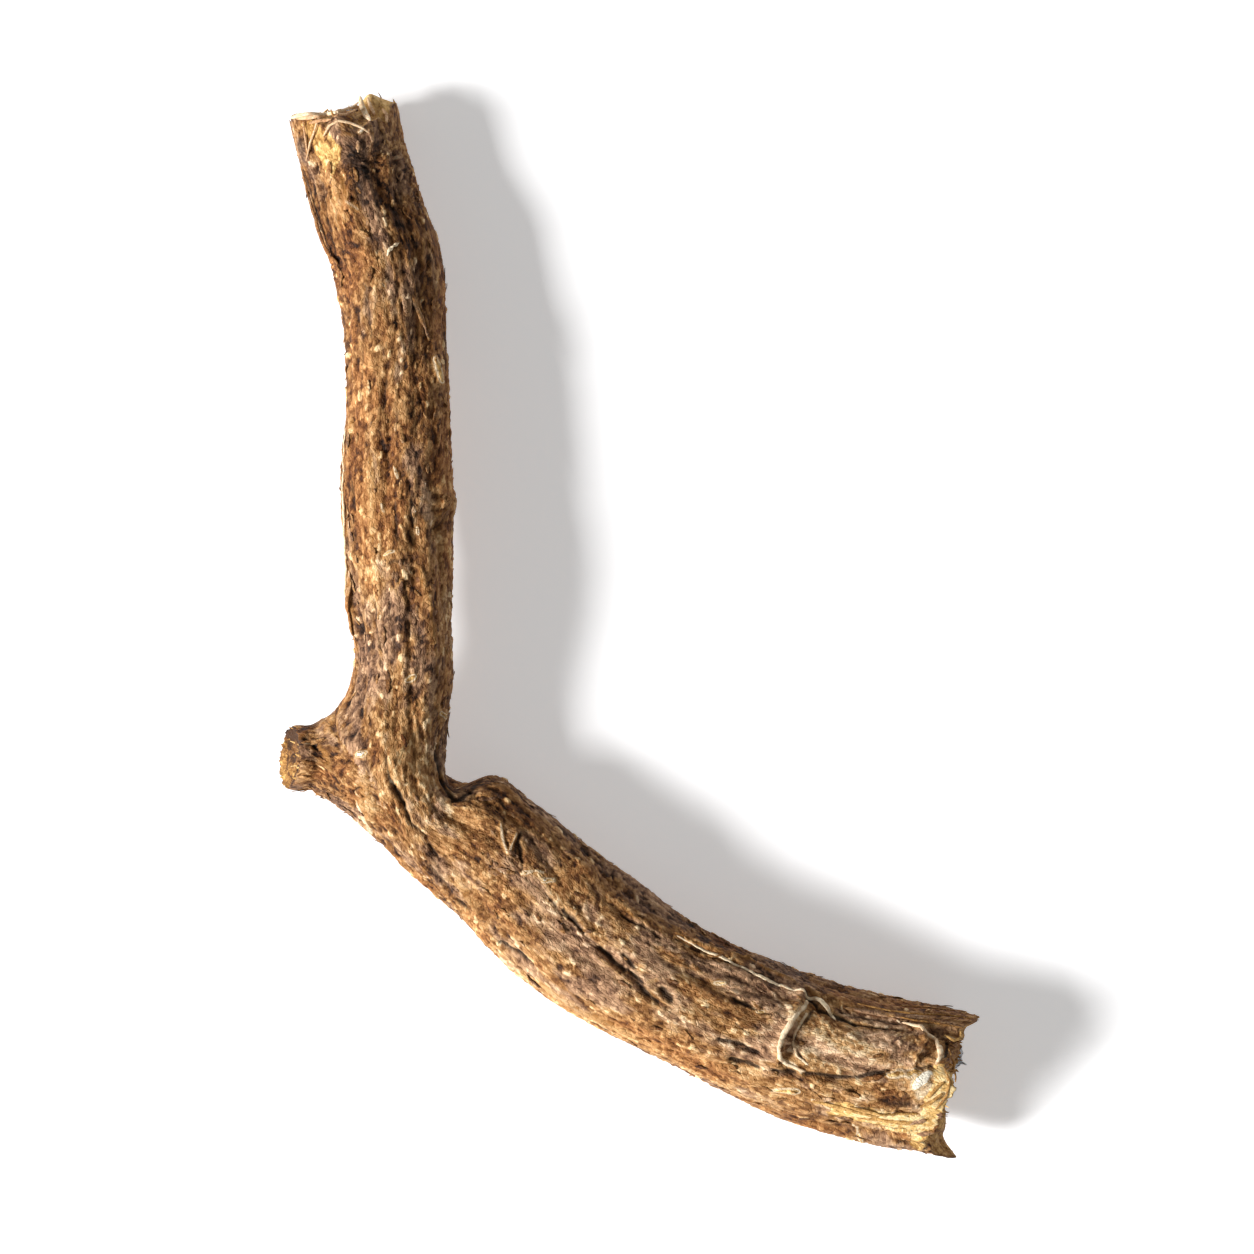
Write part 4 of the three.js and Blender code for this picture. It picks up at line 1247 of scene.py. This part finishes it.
def torn_fibres(name, skin, way, count, reach, seed):
    """Fibres that stand out of a torn end, rooted on its face, bent and tapered to nothing."""
    rng = np.random.default_rng(seed)
    places = 6
    face = skin.faces[way]
    rows = (rng.random(count) ** 1.4 * len(face) * 0.85).astype(int)
    root = face[rows, rng.integers(0, skin.columns, count)]
    along = 0.0 if way < 0 else skin.limb.length
    centre, tangent, _, _, _ = skin.limb.station(np.array([along]))
    outward = unit(root - centre - np.sum((root - centre) * tangent, axis=-1, keepdims=True) * tangent)
    heading = unit(way * tangent + rng.normal(0.0, 0.3, (count, 3)) + 0.1 * outward)
    length = rng.uniform(0.3, 1.0, count) * reach
    steps = np.linspace(-0.3, 1.0, places)
    curl = rng.normal(0.0, 0.3, (count, 1, 3)) * (steps ** 2)[None, :, None]
    paths = root[:, None] + (heading[:, None] * steps[None, :, None] + curl) * length[:, None, None]
    taper = np.linspace(1.0, 0.35, places)
    half_width = rng.uniform(0.02, 0.07, count)[:, None] * taper
    half_height = half_width * rng.uniform(0.3, 0.8, count)[:, None]
    facing = np.repeat(outward[:, None], places, axis=1)
    return strand_mesh(name, paths, facing, half_width, half_height, 5, rng.normal(0.0, 0.16, count))


# Materials


def feed(tree, socket, value):
    """Wires an output to a socket, or sets the socket to a constant."""
    if isinstance(value, bpy.types.NodeSocket):
        tree.links.new(value, socket)
    else:
        socket.default_value = value


def node(tree, kind, **values):
    """Adds a node, sets its named properties, and feeds its named inputs."""
    made = tree.nodes.new(kind)
    for key, value in values.items():
        if hasattr(made, key):
            setattr(made, key, value)
        else:
            feed(tree, made.inputs[key], value)
    return made


def field_value(tree, label):
    """A mesh attribute as a value."""
    return node(tree, "ShaderNodeAttribute", attribute_name=label).outputs["Fac"]


def field_vector(tree, label):
    """A mesh attribute as a vector."""
    return node(tree, "ShaderNodeAttribute", attribute_name=label).outputs["Vector"]


def maths(tree, operation, a, b=0.0, c=0.0):
    """One maths node of two or three numbers."""
    made = node(tree, "ShaderNodeMath", operation=operation)
    for socket, value in zip(made.inputs, (a, b, c)):
        feed(tree, socket, value)
    return made.outputs[0]


def span(tree, value, low, high, out_low=0.0, out_high=1.0):
    """Maps a span of values onto another, smoothly, and holds the ends."""
    ends = {"From Min": low, "From Max": high, "To Min": out_low, "To Max": out_high}
    made = node(tree, "ShaderNodeMapRange", interpolation_type="SMOOTHSTEP", Value=value, **ends)
    return made.outputs["Result"]


def blend_colour(tree, share, first, second, how="MIX"):
    """Mixes two colours by a share."""
    made = node(tree, "ShaderNodeMix", data_type="RGBA", blend_type=how)
    for place, value in ((0, share), (6, first), (7, second)):
        feed(tree, made.inputs[place], value)
    return made.outputs[2]


def wash(tree, base, colour, value, low, high, most=1.0, how="MIX"):
    """Lays a colour over another, with a share from 0 to the most as a value goes from low to high."""
    return blend_colour(tree, span(tree, value, low, high, 0.0, most), base, colour, how)


def srgb(red, green, blue):
    """A colour given as 0 to 255 on screen, as the linear numbers that nodes take."""
    c = np.array([red, green, blue]) / 255.0
    linear = np.where(c <= 0.04045, c / 12.92, ((c + 0.055) / 1.055) ** 2.4)
    return (*linear.tolist(), 1.0)


def palette(tree, value, stops):
    """Colours along a value from 0 to 1."""
    made = tree.nodes.new("ShaderNodeValToRGB")
    elements = made.color_ramp.elements
    while len(elements) < len(stops):
        elements.new(0.5)
    for element, (place, colour) in zip(elements, stops):
        element.position = place
        element.color = srgb(*colour)
    tree.links.new(value, made.inputs["Fac"])
    return made.outputs["Color"]


def stretched_noise(tree, vector, scale, detail=3.0, roughness=0.6):
    """Noise on a vector scaled by three numbers, from 0 to 1."""
    scaled = node(tree, "ShaderNodeMapping", Vector=vector, Scale=scale).outputs[0]
    made = node(tree, "ShaderNodeTexNoise", Vector=scaled, Scale=1.0, Detail=detail, Roughness=roughness)
    return made.outputs["Fac"]


def stretched_cells(tree, vector, scale, feature="F1"):
    """Voronoi cells on a vector scaled by three numbers."""
    scaled = node(tree, "ShaderNodeMapping", Vector=vector, Scale=scale).outputs[0]
    return node(tree, "ShaderNodeTexVoronoi", feature=feature, Vector=scaled, Scale=1.0)


def fibre_group():
    """What runs with the grain: streaks and speckles from 0 to 1, tiny scales with a level each,
    and the height that all of them make."""
    group = bpy.data.node_groups.new("fibres and scales along the grain", "ShaderNodeTree")
    for label, kind in (("Grain", "NodeSocketVector"), ("Pitch", "NodeSocketFloat")):
        group.interface.new_socket(label, in_out="INPUT", socket_type=kind)
    for label in ("Streak", "Speckle", "Scale Level", "Height"):
        group.interface.new_socket(label, in_out="OUTPUT", socket_type="NodeSocketFloat")
    given = group.nodes.new("NodeGroupInput").outputs
    pitched = {"Vector": given["Grain"], "Scale": given["Pitch"]}
    vector = node(group, "ShaderNodeVectorMath", operation="SCALE", **pitched).outputs[0]
    streak = stretched_noise(group, vector, (6.5, 6.5, 1.2), 4.0, 0.65)
    speckle = stretched_noise(group, vector, (9.0, 9.0, 5.0), 3.0, 0.7)
    hair = stretched_noise(group, vector, (24.0, 24.0, 4.0), 2.0, 0.5)
    cells = stretched_cells(group, vector, (11.0, 11.0, 6.5))
    edges = stretched_cells(group, vector, (11.0, 11.0, 6.5), "DISTANCE_TO_EDGE").outputs["Distance"]
    level = node(group, "ShaderNodeSeparateColor", Color=cells.outputs["Color"]).outputs[0]
    height = maths(group, "MULTIPLY_ADD", streak, 0.5, maths(group, "MULTIPLY", speckle, 0.6))
    height = maths(group, "MULTIPLY_ADD", hair, 0.3, height)
    height = maths(group, "MULTIPLY_ADD", level, 0.3, height)
    height = maths(group, "ADD", height, span(group, edges, 0.0, 0.12, 0.0, 0.22))
    end = group.nodes.new("NodeGroupOutput")
    for socket, value in zip(end.inputs, (streak, speckle, level, height)):
        group.links.new(value, socket)
    return group


FIBRES = fibre_group()

BARK_COLOURS = [(0.0, (38, 19, 6)), (0.2, (82, 47, 17)), (0.38, (124, 80, 38)), (0.52, (152, 107, 60)),
                (0.68, (182, 135, 84)), (0.84, (210, 165, 112)), (1.0, (240, 207, 158))]
WOOD_COLOURS = [(0.0, (70, 42, 18)), (0.2, (122, 80, 38)), (0.4, (170, 122, 62)), (0.58, (206, 160, 94)),
                (0.78, (238, 192, 118)), (1.0, (253, 224, 166))]
RIM_COLOURS = [(0.0, (116, 74, 42)), (0.4, (190, 140, 96)), (0.65, (230, 186, 140)), (1.0, (255, 234, 198))]
MID_GREY = srgb(128, 128, 128)
# the dark of cracks, which the painted shadow strokes take too
DARK_CRACK_AND_PAINTED_SHADOW = srgb(31, 16, 6)
WARM_BROWN = srgb(172, 118, 56)
MAUVE_BROWN = srgb(146, 110, 88)
# the tan of worn bark, which the painted highlight strokes take too
TAN_BARK_AND_PAINTED_HIGHLIGHT = srgb(194, 150, 98)
PALE_FLECK = srgb(236, 212, 176)
WHITE_WOOD = srgb(253, 243, 222)
SPECULAR = 0.28
BARK_BUMP = 0.00006  # metres
STRAND_BUMP = 0.00004


def principled(material, colour, roughness, normal):
    """Fills a material's own Principled shader."""
    tree = material.node_tree
    shader = tree.nodes["Principled BSDF"]
    shader.inputs["Specular IOR Level"].default_value = SPECULAR
    tree.links.new(colour, shader.inputs["Base Color"])
    tree.links.new(roughness, shader.inputs["Roughness"])
    tree.links.new(normal, shader.inputs["Normal"])


def grained_material(name, pitch):
    """A new material with the grain attribute, the fibre group on it, and a value from 0 to 1 that
    joins the shade attribute with streaks, speckles and tiny scales."""
    material = bpy.data.materials.new(name)
    material.use_nodes = True
    tree = material.node_tree
    grain = field_vector(tree, "grain")
    fibres = node(tree, "ShaderNodeGroup", node_tree=FIBRES, Grain=grain, Pitch=pitch)
    value = maths(tree, "ADD", field_value(tree, "shade"), 0.5)
    for label, gain in (("Streak", 0.65), ("Speckle", 0.75), ("Scale Level", 0.22)):
        value = maths(tree, "MULTIPLY_ADD", maths(tree, "SUBTRACT", fibres.outputs[label], 0.5), gain, value)
    return material, tree, grain, fibres, value


def bark_material():
    """Flaky brown bark with dark cracks, pale flecks, and cream wood where it has come off. The dark of the
    cracks also paints shadows, and the tan also paints highlights.
    """
    material, tree, grain, fibres, value = grained_material("root bark", 1.0)
    tone, hue, bare, end_grain = (field_value(tree, k) for k in ("tone", "hue", "bare", "end_grain"))
    streak, speckle, height = (fibres.outputs[k] for k in ("Streak", "Speckle", "Height"))
    broad = stretched_noise(tree, grain, (0.4, 0.4, 0.25), 2.0, 0.5)
    patch = maths(tree, "MULTIPLY_ADD", hue, 0.12, stretched_noise(tree, grain, (1.1, 1.1, 0.5), 3.0, 0.6))

    drifted = maths(tree, "MULTIPLY_ADD", maths(tree, "SUBTRACT", broad, 0.5), 0.3, value)
    bark = palette(tree, drifted, BARK_COLOURS)
    warm = wash(tree, MID_GREY, WARM_BROWN, patch, 0.48, 0.66, 0.55)
    bark = wash(tree, bark, warm, patch, 0.48, 0.66, 0.5, "SOFT_LIGHT")
    mauve = wash(tree, MID_GREY, MAUVE_BROWN, patch, 0.52, 0.34, 0.8)
    bark = wash(tree, bark, mauve, patch, 0.52, 0.34, 0.45, "COLOR")
    # dark for cracks and painted shadows; tan and pale for worn bark, flecks and painted highlights
    bark = wash(tree, bark, DARK_CRACK_AND_PAINTED_SHADOW, tone, -0.1, -0.8, 0.9)
    tan = wash(tree, WARM_BROWN, TAN_BARK_AND_PAINTED_HIGHLIGHT, value, 0.2, 0.8)
    bark = wash(tree, bark, tan, tone, 0.15, 0.75, 0.6)
    bark = wash(tree, bark, PALE_FLECK, tone, 0.8, 1.4, 0.9)

    wood = palette(tree, value, WOOD_COLOURS)
    wood = wash(tree, wood, DARK_CRACK_AND_PAINTED_SHADOW, tone, -0.15, -0.7)
    wood = wash(tree, wood, WHITE_WOOD, tone, 1.9, 2.3)
    torn = maths(tree, "MULTIPLY_ADD", streak, 0.7, maths(tree, "SUBTRACT", bare, 0.35))
    laid_bare = maths(tree, "MAXIMUM", span(tree, torn, 0.4, 0.55), span(tree, tone, 1.45, 1.8))
    laid_bare = maths(tree, "MAXIMUM", laid_bare, end_grain)
    colour = blend_colour(tree, laid_bare, bark, wood)

    roughness = span(tree, speckle, 0.3, 0.7, 0.85, 0.62)
    bump = node(tree, "ShaderNodeBump", Strength=1.0, Distance=BARK_BUMP, Height=height)
    principled(material, colour, roughness, bump.outputs[0])
    return material


def strand_material(name, colours, pitch, lighter):
    """A fibrous finish for small pieces: a palette on the grained value, moved lighter or darker."""
    material, tree, _, fibres, value = grained_material(name, pitch)
    colour = palette(tree, maths(tree, "ADD", value, lighter), colours)
    roughness = span(tree, fibres.outputs["Speckle"], 0.3, 0.7, 0.8, 0.58)
    bump = node(tree, "ShaderNodeBump", Strength=0.8, Distance=STRAND_BUMP, Height=fibres.outputs["Height"])
    principled(material, colour, roughness, bump.outputs[0])
    return material


def floor_material():
    """Plain pale floor with a faint unevenness."""
    material = bpy.data.materials.new("pale floor")
    material.use_nodes = True
    tree = material.node_tree
    place = tree.nodes.new("ShaderNodeTexCoord").outputs["Object"]
    noise = stretched_noise(tree, place, (30.0, 30.0, 30.0), 2.0)
    colour = blend_colour(tree, noise, srgb(246, 246, 247), srgb(250, 250, 251))
    shader = tree.nodes["Principled BSDF"]
    tree.links.new(colour, shader.inputs["Base Color"])
    shader.inputs["Roughness"].default_value = 0.9
    tree.links.new(colour, shader.inputs["Emission Color"])
    shader.inputs["Emission Strength"].default_value = 0.38
    return material


# Floor and light


FLOOR_HALF = 0.6


def make_floor():
    """A wide flat sheet at height zero."""
    mesh = bpy.data.meshes.new("floor")
    corners = [(x * FLOOR_HALF, y * FLOOR_HALF, 0) for x, y in ((-1, -1), (1, -1), (1, 1), (-1, 1))]
    mesh.from_pydata(corners, [], [(0, 1, 2, 3)])
    floor = bpy.data.objects.new("floor", mesh)
    bpy.context.collection.objects.link(floor)
    mesh.materials.append(floor_material())


def make_lamp(name, azimuth, elevation, distance, size, power):
    """A square area lamp that faces the middle, placed by compass angle from +X and height angle."""
    data = bpy.data.lights.new(name, "AREA")
    data.size = size
    data.energy = power
    lamp = bpy.data.objects.new(name, data)
    a, e = np.radians(azimuth), np.radians(elevation)
    lamp.location = distance * np.array([np.cos(e) * np.cos(a), np.cos(e) * np.sin(a), np.sin(e)])
    lamp.rotation_euler = (np.pi / 2 - e, 0.0, a + np.pi / 2)
    lamp.visible_camera = False
    bpy.context.collection.objects.link(lamp)


def make_light():
    """Key from the left, low enough to rake the bark, a weak fill from the right, and a dim world."""
    make_lamp("key", 197.0, 34.0, 0.5, 0.15, 4.9)
    make_lamp("fill", -30.0, 60.0, 0.6, 0.5, 0.12)
    world = bpy.data.worlds.new("pale room")
    world.use_nodes = True
    background = world.node_tree.nodes["Background"]
    background.inputs["Color"].default_value = (1.0, 0.96, 0.91, 1.0)
    background.inputs["Strength"].default_value = 0.17
    bpy.context.scene.world = world
    bpy.context.scene.view_settings.view_transform = "Standard"


# The pieces

# Rows of skin, places along and around it, half width, half height, lift
RIMS = [
    ("lower", [(16.02, -52), (15.98, -44), (15.78, -29), (15.65, -13), (15.65, -1), (15.78, 7), (16.04, 11),
               (16.55, 12)], 0.1, 0.05, 0.015),
    ("lower", [(16.1, -38), (15.95, -18), (16.0, -7), (16.2, 1), (16.55, 5)], 0.05, 0.035, 0.02),
    ("lower", [(15.6, -54), (16.24, -57), (16.7, -50), (16.96, -43)], 0.06, 0.04, 0.05),
    ("lower", [(12.0, -53), (12.9, -54), (13.6, -55), (14.6, -54), (15.6, -54)], 0.05, 0.03, 0.005),
    ("lower", [(18.75, -54), (19.4, -49), (19.82, -42), (19.95, -34), (19.98, -27), (19.9, -19)],
     0.07, 0.05, 0.04),
    ("upper", [(4.86, -5), (4.74, -8), (4.64, -14), (4.58, -22)], 0.05, 0.03, 0.03),
    ("upper", [(9.4, 70), (11.4, 70), (13.0, 69), (14.7, 69)], 0.05, 0.04, 0.02),
]
STRIPS = [
    ("upper", [(13.4, 62), (13.9, 65), (14.5, 68), (15.1, 70)], 0.1, 0.04, 0.03),
    ("upper", [(1.7, 74), (2.6, 70), (3.6, 67), (4.8, 60)], 0.1, 0.04, 0.12),
    ("upper", [(5.9, -30), (6.5, -38), (7.1, -46)], 0.09, 0.04, 0.05),
    ("lower", [(17.1, -58), (18.2, -58), (19.2, -58), (20.2, -58)], 0.08, 0.04, 0.06),
    ("lower", [(18.45, 13), (18.9, 9), (19.3, 9)], 0.07, 0.03, 0.01),
    ("lower", [(19.9, 48), (20.2, 41), (20.55, 34)], 0.08, 0.04, 0.1),
]
SLIVERS = [
    ("lower", [(17.9, 30), (18.8, 30), (19.7, 27)], 0.08, 0.03, 0.03),
    ("lower", [(17.0, 35), (17.9, 33), (18.7, 34)], 0.06, 0.03, 0.015),
    ("lower", [(18.2, 42), (19.0, 40), (19.9, 36)], 0.09, 0.03, 0.015),
]
# Rows of places, half width, lift, shade
UPPER_STRANDS = [
    ([(-9.56, 14.02), (-9.35, 14.06), (-8.9, 14.08), (-8.24, 14.1)], 0.07, 0.0, 0.2),
    ([(-9.4, 13.98), (-9.03, 13.98), (-8.61, 14.03)], 0.06, -0.02, 0.0),
    (traced(166, 738, 169, 737.2, 171, 736, 173.3, 734), 0.04, 0.02, 0.1),
    (traced(168, 739.4, 170.5, 738.2, 173, 736.8), 0.045, 0.01, -0.1),
    (traced(170, 736.4, 172, 735.4, 174, 735.2), 0.035, 0.02, -0.1),
    (traced(174, 733, 174.4, 735.5, 175.6, 738, 177, 740), 0.08, 0.01, 0.15),
    (traced(175.6, 732.6, 176.4, 735, 177.8, 737.6), 0.05, 0.01, 0),
    (traced(163.5, 739, 162.6, 742, 161, 746, 160, 750), 0.03, 0.01, 0),
    (traced(159.2, 740, 159.8, 744, 160.3, 748), 0.025, 0.01, -0.15),
    (traced(165, 744.2, 166.5, 741.8, 169, 740.6, 172, 741, 175, 742.3, 177, 743.6), 0.035, 0.01, 0.05),
    (traced(161, 740.4, 164, 740, 167, 740.2), 0.05, 0.01, -0.3),
    (traced(179.8, 736, 180.8, 737.5, 181.2, 740), 0.05, 0.01, -0.1),
]
LOWER_STRANDS = [
    (traced(304, 970, 312, 971.8, 320, 972.8, 328, 973.4, 334, 974.4), 0.028, 0.01, -0.15),
    (traced(310, 972.2, 318, 974, 326, 975.2, 332, 976.4), 0.025, 0.01, -0.2),
    (traced(315, 971, 322, 971.6, 330, 972.6), 0.02, 0.01, -0.25),
    (traced(326.4, 978, 328.6, 979.2, 330.6, 978.8, 330.6, 977), 0.04, 0.01, 0.1),
    (traced(325.5, 985, 327, 989, 326, 993, 323.5, 996.6), 0.03, 0.01, -0.1),
    (traced(327, 981, 328.6, 985, 328.4, 989), 0.03, 0.01, -0.1),
    (traced(321.5, 993, 323.5, 990.5, 325.4, 989), 0.05, 0.01, 0),
    (traced(319.5, 995.5, 322.5, 994, 325, 992), 0.05, 0.01, -0.05),
]


def finish_piece(piece, material, slot, *nodes):
    """Dresses a piece, lets it ride on the root, and hides the solids that it stands for."""
    piece.data.materials.append(material)
    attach(piece, "root")
    if nodes:
        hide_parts(*nodes)


def make_root():
    """Bark skins, loose flakes, curled rims, splinters and torn fibres."""
    bark = bark_material()
    rim = strand_material("curled bark edge", RIM_COLOURS, 1.6, 0.4)
    pale = strand_material("pale torn fibre", RIM_COLOURS, 1.8, 0.2)
    wood = strand_material("torn wood fibre", WOOD_COLOURS, 1.8, 0.0)
    lower = Skin(thick, thin, thin, 420, 208, 24)
    upper = Skin(thin, thick, thin, 480, 180, 24)
    skins = {"lower": lower, "upper": upper}
    finish_piece(skin_mesh("lower_root_bark", lower), bark, "bark", "lower_root", "broken_stub")
    finish_piece(skin_mesh("upper_root_bark", upper), bark, "bark", "upper_root")
    finish_piece(flakes("lower_flakes", lower, 420, 81), bark, "bark")
    finish_piece(flakes("upper_flakes", upper, 340, 82), bark, "bark")
    finish_piece(curled_rims("curled_rims", skins, RIMS, 48, 5), rim, "bare_wood")
    finish_piece(curled_rims("bark_strips", skins, STRIPS, 32, 6), bark, "bark")
    finish_piece(curled_rims("wood_slivers", skins, SLIVERS, 32, 7), wood, "bare_wood")
    finish_piece(laid_strands("upper_end_strands", upper, UPPER_STRANDS, 24), pale, "bare_wood")
    finish_piece(laid_strands("lower_end_strands", lower, LOWER_STRANDS, 24), wood, "bare_wood")
    finish_piece(torn_fibres("lower_end_fibres", lower, 1.0, 70, 0.22, 91), wood, "bare_wood")
    finish_piece(torn_fibres("upper_end_fibres", upper, -1.0, 50, 0.2, 92), wood, "bare_wood")
    finish_piece(torn_fibres("stub_fibres", lower, -1.0, 24, 0.1, 93), wood, "bare_wood")


make_floor()
make_light()
make_root()
